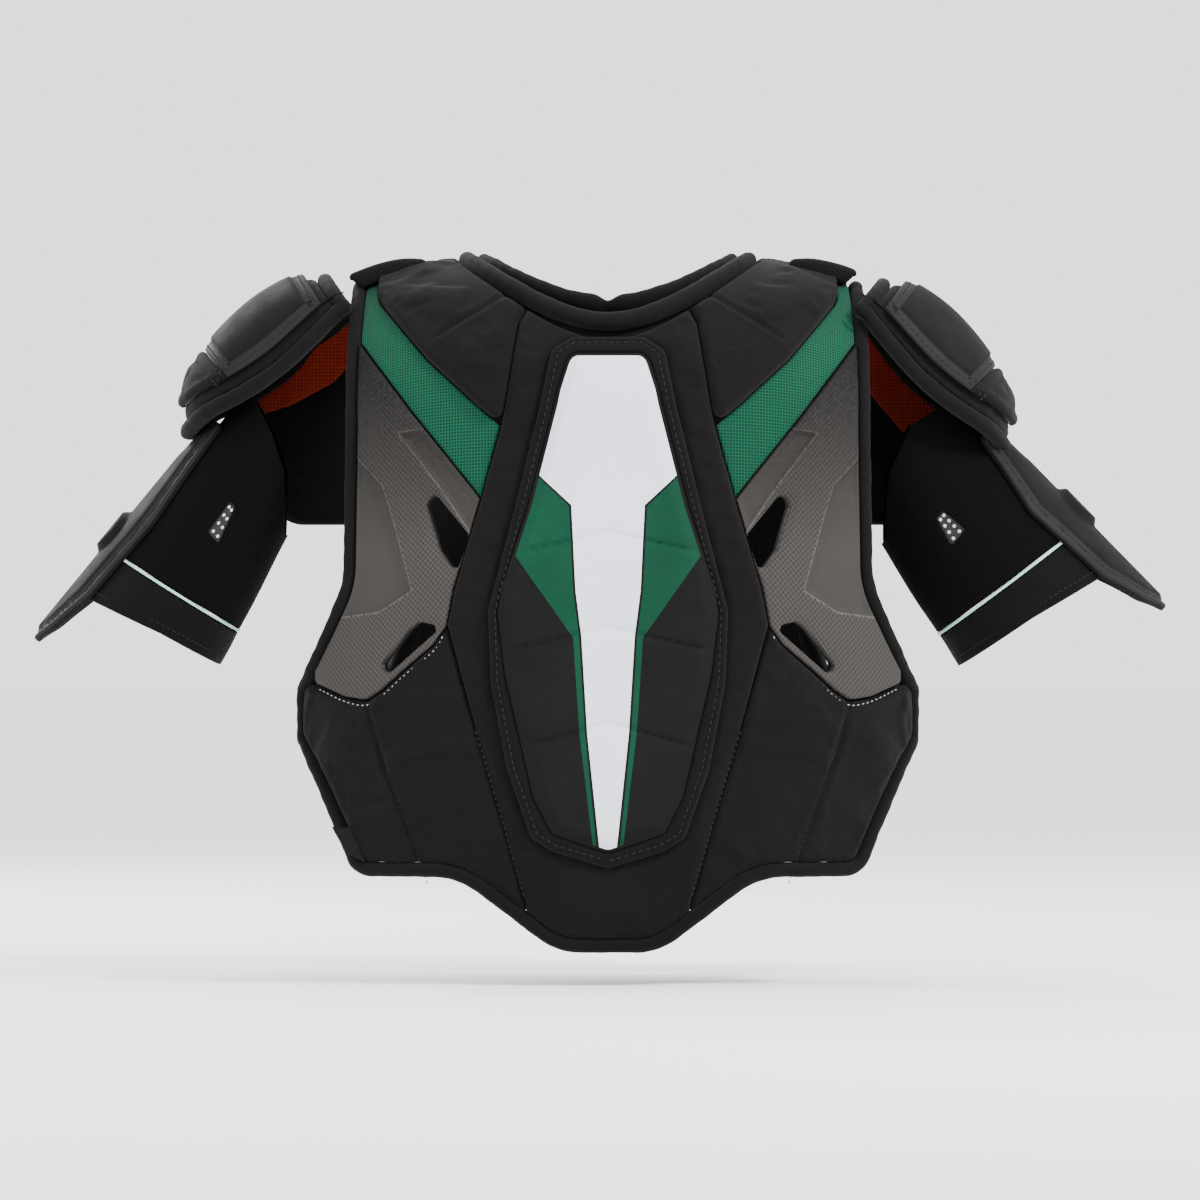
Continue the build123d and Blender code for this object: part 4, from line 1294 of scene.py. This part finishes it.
for name, sign in SIDES.items():
    pec = panel_area(-1, on_side(PEC, sign), CHEST_FIELD, neck=CHEST_EDGE_CLEAR)
    pec_lines = [on_torso(curve(on_side(line, sign)))
                 for line in ([(62, -72), (96, -84), (120, -76)], [(60, -176), (92, -166), (114, -140)])]

    def pec_relief(points, d, lines=pec_lines):
        rise = 1.6 * np.exp(-(distance(points, lines) / 6.0) ** 2)
        bevel = np.clip((d - 1) / 8, 0, 1)
        return rise * np.clip(d / 6, 0, 1) + 1.6 * (bevel * bevel * (3 - 2 * bevel)) - 1.6

    obj = patch("visual_pec_plate_" + name, chest, pec, cushion(5.2, 11.6, 1.6, 0, pec_relief),
                flat(5.2), [CHARCOAL], 2.0)
    piece(obj, "chest", "black_plastic_shell", "pec_plate_" + name)
    shoulder_line = y_line(-1, SHOULDER_PAD_REACH)
    full = panel_area(-1, on_side([(60, 60), (60, -90), (146, -90), (146, 60)], sign), CHEST_FIELD,
                      neck=CHEST_EDGE_CLEAR)
    front = area_of([*full, shoulder_line], lambda p, full=full: inside(p, full) & inside(p, [shoulder_line]))
    obj = patch("visual_front_yoke_" + name, chest, front, cushion(5.4, 14.6, 5.0, 1.0, soft_relief),
                flat(5.4), [KNIT])
    puffed(obj)
    piece(obj, "chest", "black_knit", "front_yoke_" + name, fill=0.8)
    collarbone = panel_area(-1, on_side(COLLARBONE, sign), CHEST_FIELD, neck=CHEST_EDGE_CLEAR)
    far_line = y_line(-1, SHOULDER_PAD_REACH + 0.8)
    lower = area_of([*collarbone, far_line],
                    lambda p, c=collarbone: inside(p, c) & ~inside(p, [far_line]))
    obj = patch("visual_collarbone_pad_" + name, chest, lower,
                cushion(5.4, 12.0, 4.0, 1.0, soft_relief), flat(5.4), [KNIT])
    puffed(obj, limit=2.4)
    piece(obj, "chest", "black_knit", "collarbone_pad_" + name, fill=0.8)

    armpit_plane = plane_surface((0, ARMPIT_MIDDLE_Y, 0), (1, 0, 0), (0, 0, 1), (0, 1, 0))
    pit = area_plain(rounded(on_side(ARMPIT, sign)))

    def pit_top(points, d):
        return 0.3 + pillow(d, 2.4, 5.0) + 0.9 * (1 - np.exp(-d / 10)) + ripple(points, 0.3, 30)

    def pit_bottom(points, d):
        return -0.3 - pillow(d, 2.4, 5.0) - 0.9 * (1 - np.exp(-d / 10))

    obj = patch("visual_armpit_pad_" + name, armpit_plane, pit, pit_top, pit_bottom, [KNIT])
    puffed(obj, limit=2.0)
    piece(obj, "chest", "black_knit", "armpit_pad_" + name, fill=0.8)

# ---- side straps -------------------------------------------------------------------------------


def strap_surface(name, path):
    """Upright band along a path in plan: a runs along the path, b down its height, leaned in."""
    path = np.asarray(path, float)
    along = np.concatenate([[0], np.cumsum(np.linalg.norm(np.diff(path, axis=0), axis=1))])
    tilt = math.radians(STRAP_TILT)
    sign = SIDES[name]

    def point(a, b):
        last = len(path) - 1
        slot = np.clip(np.searchsorted(along, a) - 1, 0, last - 1)
        share = (a - along[slot]) / (along[slot + 1] - along[slot])
        plan = path[slot] + (path[slot + 1] - path[slot]) * share[:, None]
        dx = plan[:, 0] - STRAP_TOP_X
        dz = -b
        x = STRAP_TOP_X + dx * math.cos(tilt) + dz * math.sin(tilt)
        z = STRAP_TOP_Z - dx * math.sin(tilt) + dz * math.cos(tilt)
        return np.stack([sign * x, plan[:, 1], z], axis=1)

    return Surface(point, (sign, 0, 0), (6.0, 10.0)), along[-1]


def rectangle(a0, a1, b0, b1, radius=2.0):
    corners = [(a0, b0, radius), (a1, b0, radius), (a1, b1, radius), (a0, b1, radius)]
    loop = rounded(corners)
    return area_of([loop], lambda p: inside(p, [loop]))


def bent(points, radius):
    """Open plan path with one rounded bend."""
    start, corner, end = (np.array(p, float) for p in points)
    back_way, ahead = start - corner, end - corner
    back_way, ahead = back_way / np.linalg.norm(back_way), ahead / np.linalg.norm(ahead)
    half = math.acos(np.clip(back_way @ ahead, -1, 1)) / 2
    reach = radius / math.tan(half)
    centre = corner + (back_way + ahead) / np.linalg.norm(back_way + ahead) * radius / math.sin(half)
    first, last = corner + back_way * reach - centre, corner + ahead * reach - centre
    arc = []
    for k in range(25):
        mix = first + (last - first) * k / 24
        arc.append(centre + mix / np.linalg.norm(mix) * radius)
    return densify(np.array([start, *arc, end]), 3.0, False)


for name, sign in SIDES.items():
    surface, reach = strap_surface(name, bent([(FLAP_X, 2), (FLAP_X, -88), (124, -97)], 38))
    flap_area = rectangle(0.2, reach - 0.2, 0.4, STRAP_HEIGHT - 0.4, 5)
    flap_lines = [densify([(4.5, 5), (reach - 5, 5), (reach - 5, 47), (4.5, 47), (4.5, 5)], 2, False)]

    def flap_top(points, d, lines=flap_lines):
        return (0.6 + pillow(d, 1.3, 2.0) - 0.5 * np.exp(-(distance(points, lines) / 1.1) ** 2)
                + ripple(points, 0.12, 30))

    obj = patch("visual_chest_flap_" + name, surface, flap_area, flap_top,
                lambda p, d: -0.6 - pillow(d, 1.3, 2.0), [KNIT], 2.4)
    piece(obj, "chest", "black_knit", "chest_flap_" + name, fill=0.6)
    obj = stitches("visual_flap_seams_" + name, [row_on(surface, flap_lines[0], 1.75)],
                   THREAD, 2.4, 3.8, 0.35)
    piece(obj, "chest", "black_knit")

    surface, reach = strap_surface(name, densify(np.array([(STRAP_TOP_X, STRAP_REAR_Y),
                                                           (STRAP_TOP_X, STRAP_FRONT_Y)]), 4, False))
    area = rectangle(0.2, reach - 0.2, 0.3, STRAP_HEIGHT - 0.3, 2)

    def strap_zone(middle):
        return np.where((middle[:, 1] > 1.4) & (middle[:, 1] < 3.6), 1, 0)

    def strap_top(points, d):
        ribs = 0.12 * np.sin(points[:, 1] * 2 * math.pi / 3.2)
        return 0.45 + pillow(d, 0.6, 0.9) + ribs

    lines = [densify([(-5, b), (reach + 5, b)], 2, False) for b in (1.4, 3.6)]
    obj = patch("visual_side_strap_" + name, surface, area, strap_top,
                lambda p, d: -0.45 - pillow(d, 0.6, 0.9), [ELASTIC, MINT, ELASTIC], 1.3, lines,
                strap_zone, edge=(0.5,))
    piece(obj, "strap_" + name, "elastic_webbing", "side_strap_" + name)
    boxes = []
    for start in (6, reach - 14):
        cross = [(start, 6), (start + 8, 6), (start + 8, 46), (start, 46), (start, 6), (start + 8, 46)]
        boxes.append(row_on(surface, densify(cross, 2, False), 1.15))
    obj = stitches("visual_strap_seams_" + name, boxes, THREAD, 2.2, 3.4, 0.3)
    piece(obj, "strap_" + name, "elastic_webbing")

    hook_area = rectangle(reach - 40, reach - 4, 6, STRAP_HEIGHT - 6, 4)
    obj = patch("visual_strap_hook_" + name, surface, hook_area, flat(-1.1),
                lambda p, d: -1.5 - pillow(d, 0.5, 0.8) - rng.uniform(0, 0.25, len(p)), [FOAM], 1.2,
                edge=(0.5,))
    piece(obj, "strap_" + name, "elastic_webbing", "strap_hook_" + name)

# ---- shoulder caps --------------------------------------------------------------------------------


def smoothed(loop, passes):
    """Evenly spaced loop with its corners eased."""
    for _ in range(passes):
        loop = (np.roll(loop, 1, axis=0) + loop * 2 + np.roll(loop, -1, axis=0)) / 4
    return loop


def cap_loop(inset, low=0.0, high=CAP_LENGTH, ease=14):
    """The cap's outline set in by a distance, as (a, b), closed and cut between two runs."""
    half = curve([(0, 78), (30, 81), (56, 81), (84, 74), (104, 61), (120, 40), (128, 14), (129, 0)], 2)
    half[:, 1] *= CAP_GIRTH / 90
    whole = np.vstack([half, half[::-1][1:] * (1, -1)])
    loop = area_plain(densify(whole, 2.0, True))[0]
    steps = int(inset / 1.5)
    for _ in range(steps):
        loop = moved_in(smoothed(densify(loop, 2.0, True), 2), inset / steps)
    loop = smoothed(densify(loop, 2.0, True), ease)
    window = rounded([(low, -90), (high, -90), (high, 90), (low, 90)])
    return area_of([loop, window], lambda p: inside(p, [loop]) & inside(p, [window]))


for name, sign in SIDES.items():
    surface = CAP[name]
    body = "cap_" + name
    rim = cap_loop(4.6)[0]
    rim = densify(rim, 2.5, True)
    a, b = rim.T
    path, normals = surface.point(a, b), surface.normal(a, b)
    path, normals = smoothed(path, 3), smoothed(normals, 3)
    normals /= np.linalg.norm(normals, axis=1)[:, None]
    obj = sweep("visual_cap_binding_" + name, path, normals, roll_section(4.6, -2.0, 8.6, 22, 2.3),
                TAPE, True)
    piece(obj, body, "binding_tape", "cap_binding_" + name, fill=0.8)
    field = cap_loop(8.6)

    def base_relief(points, d):
        return ripple(points, 0.35, 40) * np.clip(d / 8, 0, 1)

    obj = patch("visual_cap_base_" + name, surface, field, cushion(0.2, 7.2, 3.2, 0.8, base_relief),
                flat(0.1), [KNIT], 2.6)
    puffed(obj, limit=1.2)
    piece(obj, body, "black_knit", "cap_base_" + name, fill=0.8)
    obj = patch("visual_cap_lining_" + name, surface, field, flat(-0.3),
                lambda p, d: -1.0 - pillow(d, 0.5, 1.0) + ripple(p, 0.15, 25), [ORANGE], 2.6, edge=(0.6,))
    piece(obj, body, "orange_mesh", "cap_lining_" + name, fill=0.3)
    skirt_plane = plane_surface((0, SKIRT_Y, 0), (1, 0, 0), (0, 0, 1), (0, 1, 0))
    skirt = area_plain(rounded(on_side(SKIRT[name], sign)))

    def skirt_hang(points):
        return 1.6 * np.sin(points[:, 0] / 9.0) + 0.08 * (points[:, 1] + 20)

    obj = patch("visual_cap_skirt_" + name, skirt_plane, skirt,
                lambda p, d: 0.2 + pillow(d, 0.8, 1.4) + skirt_hang(p),
                lambda p, d: -0.6 - pillow(d, 1.0, 1.6) + skirt_hang(p), [ORANGE, KNIT], 2.4,
                zone=lambda middle: np.zeros(len(middle), int), edge=(0.6, 1.4))
    piece(obj, body, "orange_mesh", fill=0.2)
    shell = cap_loop(15.5)
    obj = patch("visual_cap_shell_" + name, surface, shell,
                lambda p, d: 8.2 + pillow(d, 1.6, 2.0), flat(7.2), [SHELL], 2.4, edge=(0.5, 1.2))
    piece(obj, body, "black_plastic_shell", "cap_shell_" + name)
    upper = cap_loop(14.5, 14.0, 84.5)
    strip = [moved_in(upper[0], 6.5)]

    def upper_zone(middle, strip=strip):
        return np.where(inside(middle, strip), 0, 1)

    def upper_top(points, d):
        rise = np.clip((d - 5.6) / 2.2, 0, 1)
        return (10.6 + pillow(d, 1.4, 1.8) + 1.6 * (rise * rise * (3 - 2 * rise))
                - 0.6 * np.exp(-((d - 5.9) / 0.8) ** 2))

    obj = patch("visual_cap_upper_" + name, surface, upper, upper_top, flat(9.6),
                [CHARCOAL, EDGE_GREY, CHARCOAL], 2.0,
                [looped(strip[0])], upper_zone, edge=(0.5, 1.2, 2.4))
    piece(obj, body, "charcoal_moulded_shell", "cap_upper_cover_" + name, fill=0.9)
    sewn = moved_in(upper[0], 3.0)
    obj = stitches("visual_cap_upper_stitches_" + name,
                   [row_on(surface, looped(sewn), 12.15)], THREAD, 2.6, 4.4, 0.42)
    piece(obj, body, "charcoal_moulded_shell")
    lower = cap_loop(14.5, 85.2, 125.0)
    lower_seam = moved_in(lower[0], 6.0)

    def lower_relief(points, d):
        return (-1.1 * np.exp(-((d - 6) / 1.0) ** 2) + ripple(points, 0.25, 30) * np.clip(d / 8, 0, 1))

    obj = patch("visual_cap_lower_" + name, surface, lower, cushion(9.6, 14.0, 3.0, 0.4, lower_relief),
                flat(9.4), [KNIT], 2.0)
    puffed(obj, [looped(lower_seam)], limit=1.6)
    piece(obj, body, "black_knit", "cap_lower_cover_" + name, fill=0.8)
    sewn = moved_in(lower[0], 6.0)
    obj = stitches("visual_cap_lower_stitches_" + name,
                   [row_on(surface, looped(sewn), 13.0)], THREAD, 2.6, 4.2, 0.4)
    piece(obj, body, "black_knit")

    # elastic link from the cap's drooping underside to the bicep guard
    x, z, angle = CAP_POSE[name]
    crest = CAP_CREST * (1 - abs((LINK_U - 62) / 76) ** 3) - 4.6

    def link_point(a, b, x=x, z=z, angle=angle, sign=sign, crest=crest):
        local = np.stack([np.full(len(a), LINK_U), a, crest - b], axis=1)
        return turned(local, x, z, angle, sign)

    link = Surface(link_point, (sign, 0, -0.5), (0.0, 4.0))
    drop = crest - LINK_LOW
    start = min(float(cap_droop(LINK_U)), drop - 4) + 0.2
    link_area = rectangle(-LINK_WIDTH / 2, LINK_WIDTH / 2, start, drop, 1.5)
    obj = patch("visual_bicep_link_" + name, link, link_area,
                lambda p, d: 0.7 + pillow(d, 0.8, 1.0) + 0.1 * np.sin(p[:, 0] * 2),
                lambda p, d: -0.7 - pillow(d, 0.8, 1.0), [ELASTIC], 1.6, edge=(0.5,))
    piece(obj, body, "elastic_webbing", "bicep_link_" + name, fill=0.4)

    # woven tab from the yoke towards the cap, padded underneath
    end = CAP_POSE[name][0] - TAB_CLEARANCE
    drop = TAB_BEND[1] + (end - TAB_BEND[0]) * TAB_SLOPE
    line = curve([(112, 25.2), (TAB_START[0], TAB_START[1] - 1.2), (TAB_BEND[0], TAB_BEND[1] - 1.0),
                  (end, drop)], 1.5)

    def tab_point(a, b, line=line, sign=sign):
        along = np.concatenate([[0], np.cumsum(np.linalg.norm(np.diff(line, axis=0), axis=1))])
        out, up = np.interp(a, along, line[:, 0]), np.interp(a, along, line[:, 1])
        return np.stack([sign * out, b + 0 * a, up], axis=1)

    tab = Surface(tab_point, (0, 0, 1), (5.0, 0.0))
    reach = float(np.sum(np.linalg.norm(np.diff(line, axis=0), axis=1)))
    tab_area = rectangle(0.2, reach - 0.2, TAB_REAR_Y - TAB_WIDTH, TAB_REAR_Y, 3)
    obj = patch("visual_shoulder_tab_" + name, tab, tab_area,
                lambda p, d: 0.8 + pillow(d, 2.6, 3.4) + 0.1 * np.sin(p[:, 1] * 2),
                lambda p, d: 0.1 - 7.6 * pillow(d, 1, 2.4) * np.clip((reach - 1 - p[:, 0]) / 4, 0, 1),
                [ELASTIC], 1.6, edge=(0.5, 1.2))
    piece(obj, "back", "elastic_webbing", "shoulder_tabs")

# ---- bicep guards -------------------------------------------------------------------------------------
SLEEVE_RISE = {"left": 43.0, "right": 44.0}   # the sleeve's hidden top, up inside the cap
SLEEVE_LIMIT = -46.0                     # the highest any part of a sleeve reaches up its arm
PLATE_RISE = 30.0                        # hidden top of the outer plate
ROUND = math.pi * GUARD_GIRTH            # half the way round a sleeve
SEAM_SLACK = 0.02


def guard_across(name, a, b):
    """How far out a sleeve point is from the arm's axis, along the guard's own p axis."""
    half, centre = GUARD_POSE[name][3:5]
    return centre + GUARD_DRIFT * a + (half + GUARD_FLARE * a) * np.cos(b / GUARD_GIRTH)


def sleeve_top(name, b):
    """Where the sleeve's upper edge lies at an angle round it."""
    half, centre = GUARD_POSE[name][3:5]
    inner = centre - half
    top = GUARD_TOP[name]
    rise = SLEEVE_RISE[name]
    line = np.array([(21, inner), (-12, inner * 0.55), (-27, -6), (top - 10 - rise, 22),
                     (top - 12 - rise, 70)], float)
    t = np.zeros(len(b))
    for _ in range(6):
        t = np.interp(guard_across(name, t, b), line[:, 1], line[:, 0])
    return np.maximum(t, SLEEVE_LIMIT)


def hem_end(name, b):
    half, centre = GUARD_POSE[name][3:5]
    inner = centre - half
    line = np.array([(CUFF_END - 4, -110), (CUFF_END, inner * 0.3), (CUFF_END + 12, 90)], float)
    t = np.full(len(b), CUFF_END)
    for _ in range(6):
        t = np.interp(guard_across(name, t, b), line[:, 1], line[:, 0])
    return t


def tube_area(name, first, last, holes=()):
    """Unrolled tube between two edges that vary round it."""
    turns = np.linspace(-ROUND, ROUND, 160)
    lower = np.stack([last(turns), turns], axis=1)
    upper = np.stack([first(turns), turns], axis=1)
    sides = [densify(np.array([upper[0], lower[0]]), 2.5, False)[1:-1],
             densify(np.array([lower[-1], upper[-1]]), 2.5, False)[1:-1]]
    loop = np.vstack([upper[:1], sides[0], lower, sides[1], upper[::-1][:-1]])
    holes = [np.asarray(hole, float) for hole in holes]
    return area_of([loop, *holes], lambda p: inside(p, [loop, *holes]))


def on_seam(points):
    return np.abs(np.abs(points[:, 1]) - ROUND) < SEAM_SLACK


def vent_spot(name, x, z, side):
    """A place seen from behind, as (a, b) on the rear or the front of the sleeve."""
    start_x, start_z, angle, half, centre, depth = GUARD_POSE[name]
    cos, sin = math.cos(math.radians(angle)), math.sin(math.radians(angle))
    dx, dz = x - start_x, z - start_z
    along, across = dx * cos - dz * sin, dx * sin + dz * cos
    share = (across - centre - GUARD_DRIFT * along) / (half + GUARD_FLARE * along)
    return along, side * math.acos(np.clip(share, -1, 1)) * GUARD_GIRTH


def vents(name):
    """For the rear and the front: the vent's outline and its eight hole spots, which are painted pale as the
    backdrop's light seen through the holes.
    """
    out = []
    quad = np.array(VENT[name], float)
    for side in (1, -1):
        loop = area_plain(rounded([(*vent_spot(name, x, z, side), 1.2) for x, z in quad], 1.0))[0]
        holes = []
        for i in range(4):
            for j in range(2):
                s, t = (i + 0.5) / 4, 0.27 + 0.46 * j
                near = quad[0] * (1 - t) + quad[1] * t
                far = quad[3] * (1 - t) + quad[2] * t
                middle = np.array(vent_spot(name, *(near * (1 - s) + far * s), side))
                turns = np.linspace(0, 2 * math.pi, 13)[:-1]
                holes.append(middle + VENT_RADIUS * np.stack([np.cos(turns), np.sin(turns)], axis=1))
        out.append((loop, holes))
    return out


for name, sign in SIDES.items():
    surface = GUARD[name]
    body = "bicep_" + name
    openings = vents(name)
    sleeve = tube_area(name, lambda b: sleeve_top(name, b), lambda b: np.full(len(b), PIPING_T - 1.2),
                       [loop for loop, _ in openings])
    folds = rng.uniform(0, 6.28, 4)

    def sleeve_relief(points, folds=folds):
        turn = points[:, 1] / GUARD_GIRTH
        wave = (0.5 * np.sin(3 * turn + folds[0] + points[:, 0] / 23) + 0.35 * np.sin(5 * turn + folds[1])
                + 0.4 * np.sin(2 * turn + points[:, 0] / 14 + folds[2]))
        return wave * np.clip((PIPING_T - points[:, 0]) / 20, 0, 1)

    obj = patch("visual_sleeve_" + name, surface, sleeve,
                lambda p, d: -1.0 + pillow(d, 0.9, 1.2) + 0.8 * sleeve_relief(p),
                lambda p, d: -1.4 - pillow(d, 0.9, 1.2) + 0.8 * sleeve_relief(p),
                [SLEEVE], 2.3, edge=(0.7, 1.6), seam=on_seam)
    piece(obj, body, "stretch_mesh", "bicep_sleeve_" + name, fill=0.3)

    for number, (loop, holes) in enumerate(openings):
        grown = moved_in(loop, -1.5)
        mesh_area = area_plain(grown)
        rings = [looped(hole) for hole in holes]
        # the hole spots take the pale painted backlight, the rest the grey vent mesh
        obj = patch(f"visual_vent_{name}_{number}", surface, mesh_area,
                    lambda p, d: -2.2 + 0.8 * sleeve_relief(p), lambda p, d: -2.7 + 0.8 * sleeve_relief(p),
                    [VENT_MESH, VENT_PAINTED_BACKLIGHT, VENT_MESH], 1.2, rings,
                    lambda middle, holes=holes: np.where(inside(middle, holes), 1, 0), edge=(0.3,))
        piece(obj, body, "stretch_mesh")

    turns = np.linspace(-ROUND, ROUND, 140)[:-1]
    ring_a = np.full(len(turns), PIPING_T)
    path, normals = surface.point(ring_a, turns), surface.normal(ring_a, turns)
    obj = sweep("visual_piping_" + name, path, normals, roll_section(0.85, -1.5, 0.5, 12, 2.0), MINT, True)
    piece(obj, body, "mint_piping", "bicep_piping_" + name, fill=0.9)

    cuff = tube_area(name, lambda b: np.full(len(b), PIPING_T + 1.2), lambda b: hem_end(name, b) - 0.2)

    def cuff_relief(points, folds=folds):
        turn = points[:, 1] / GUARD_GIRTH
        fade = np.clip((points[:, 0] - PIPING_T) / 12, 0, 1)
        return 0.5 * np.sin(4 * turn + folds[3] + points[:, 0] / 11) * fade

    obj = patch("visual_cuff_" + name, surface, cuff,
                lambda p, d: -1.4 + pillow(d, 1.2, 1.6) + cuff_relief(p),
                lambda p, d: -1.9 - pillow(d, 1.2, 1.6) + cuff_relief(p),
                [CUFF], 2.3, edge=(0.7, 1.6), seam=on_seam)
    piece(obj, body, "black_knit", "bicep_cuff_" + name, fill=0.3)
    hem_b = np.linspace(-ROUND, ROUND, 140)
    hem_path = np.stack([hem_end(name, hem_b) - 5.5, hem_b], axis=1)
    obj = stitches("visual_cuff_stitches_" + name, [row_on(surface, hem_path, -0.25)], THREAD, 2.4, 3.8, 0.34)
    piece(obj, body, "black_knit")

    top = GUARD_TOP[name]
    plan = [(top + 5 - PLATE_RISE, 27), (60, 40), (120, 38), (146, 26), (159, 8)]
    plan = np.array(plan + [(t, -y) for t, y in reversed(plan)], float)
    plan = densify(plan, 2.0, True)
    depth = GUARD_POSE[name][5] + GUARD_SWELL * plan[:, 0] + 3
    plate = np.stack([plan[:, 0], np.arcsin(np.clip(plan[:, 1] / depth, -0.97, 0.97)) * GUARD_GIRTH], axis=1)
    smooth = smoothed(plate, 5)
    plate_area = area_of([smooth], lambda p: inside(p, [smooth]))
    spine_line = densify([(top + 8, 0), (150, 0)], 2, False)
    boss_centre = np.array([77.0, 0.0])
    panel_rim = [moved_in(plate_area[0], 6.5)]

    def guard_top(points, d):
        bevel = np.clip((d - 4.5) / 4, 0, 1)
        lift = 3.4 + pillow(d, 1.6, 2.2) + 1.6 * (bevel * bevel * (3 - 2 * bevel))
        lift += 0.8 * np.exp(-(distance(points, [spine_line]) / 7) ** 2) * np.clip(d / 8, 0, 1)
        lift -= 0.9 * np.exp(-((d - 4.6) / 0.9) ** 2)
        apart = np.linalg.norm((points - boss_centre) / (1.3, 1.0), axis=1)
        rise = np.clip((12.5 - apart) / 3.0, 0, 1)
        return lift + 4.2 * (rise * rise * (3 - 2 * rise))

    def guard_zone(middle, panel_rim=panel_rim):
        return np.where(inside(middle, panel_rim), 0, 1)

    obj = patch("visual_guard_plate_" + name, surface, plate_area, guard_top, flat(0.8),
                [CHARCOAL, EDGE_GREY, CHARCOAL], 2.0, [looped(panel_rim[0])],
                guard_zone, edge=(0.5, 1.2, 2.4))
    piece(obj, body, "charcoal_moulded_shell", "bicep_plate_" + name, fill=0.9)
    sewn = moved_in(plate_area[0], 4.6)
    obj = stitches("visual_guard_stitches_" + name, [row_on(surface, looped(sewn), 4.5)],
                   THREAD, 2.8, 4.6, 0.42)
    piece(obj, body, "charcoal_moulded_shell")

# ---- stage -----------------------------------------------------------------------------------------------
FLOOR_DROP = 0.02
low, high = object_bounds()
floor_z = low.z - FLOOR_DROP
bpy.ops.mesh.primitive_plane_add(size=40, location=(0, 0, floor_z))
floor = bpy.context.object
floor.name = "stage_floor"
pale = Recipe("stage_pale", 0.9, specular=0.1)
floor.data.materials.append(pale.finish(pale.mix(pale.noise(3), (0.93, 0.93, 0.93), (0.96, 0.96, 0.96))))

world = bpy.data.worlds.new("studio")
bpy.context.scene.world = world
world.use_nodes = True
world.node_tree.nodes["Background"].inputs["Color"].default_value = (1.0, 1.0, 1.0, 1)
world.node_tree.nodes["Background"].inputs["Strength"].default_value = 2.1

CAMERA_TARGET = Vector((0.0049, 0.05, -0.182))
CAMERA_REACH, FRAME_HALF_WIDTH = 6.0, 0.369
for label, place, energy, size in (("key", (-1.6, 1.3, 1.5), 85, 0.5), ("fill", (1.6, 1.7, 0.5), 14, 1.0),
                                   ("top", (0.1, -0.2, 2.2), 14, 1.2), ("front", (1.2, -1.8, 1.0), 50, 0.6)):
    data = bpy.data.lights.new("stage_" + label, "AREA")
    data.energy = energy
    data.size = size
    light = bpy.data.objects.new("stage_" + label, data)
    light.location = place
    light.rotation_euler = (CAMERA_TARGET - Vector(place)).to_track_quat("-Z", "Y").to_euler()
    bpy.context.scene.collection.objects.link(light)

camera_data = bpy.data.cameras.new("camera")
camera_data.angle = 2 * math.atan(FRAME_HALF_WIDTH / CAMERA_REACH)
camera = bpy.data.objects.new("camera", camera_data)
camera.location = CAMERA_TARGET + Vector((0, CAMERA_REACH, 0))
camera.rotation_euler = (CAMERA_TARGET - camera.location).to_track_quat("-Z", "Y").to_euler()
bpy.context.scene.collection.objects.link(camera)
bpy.context.scene.camera = camera
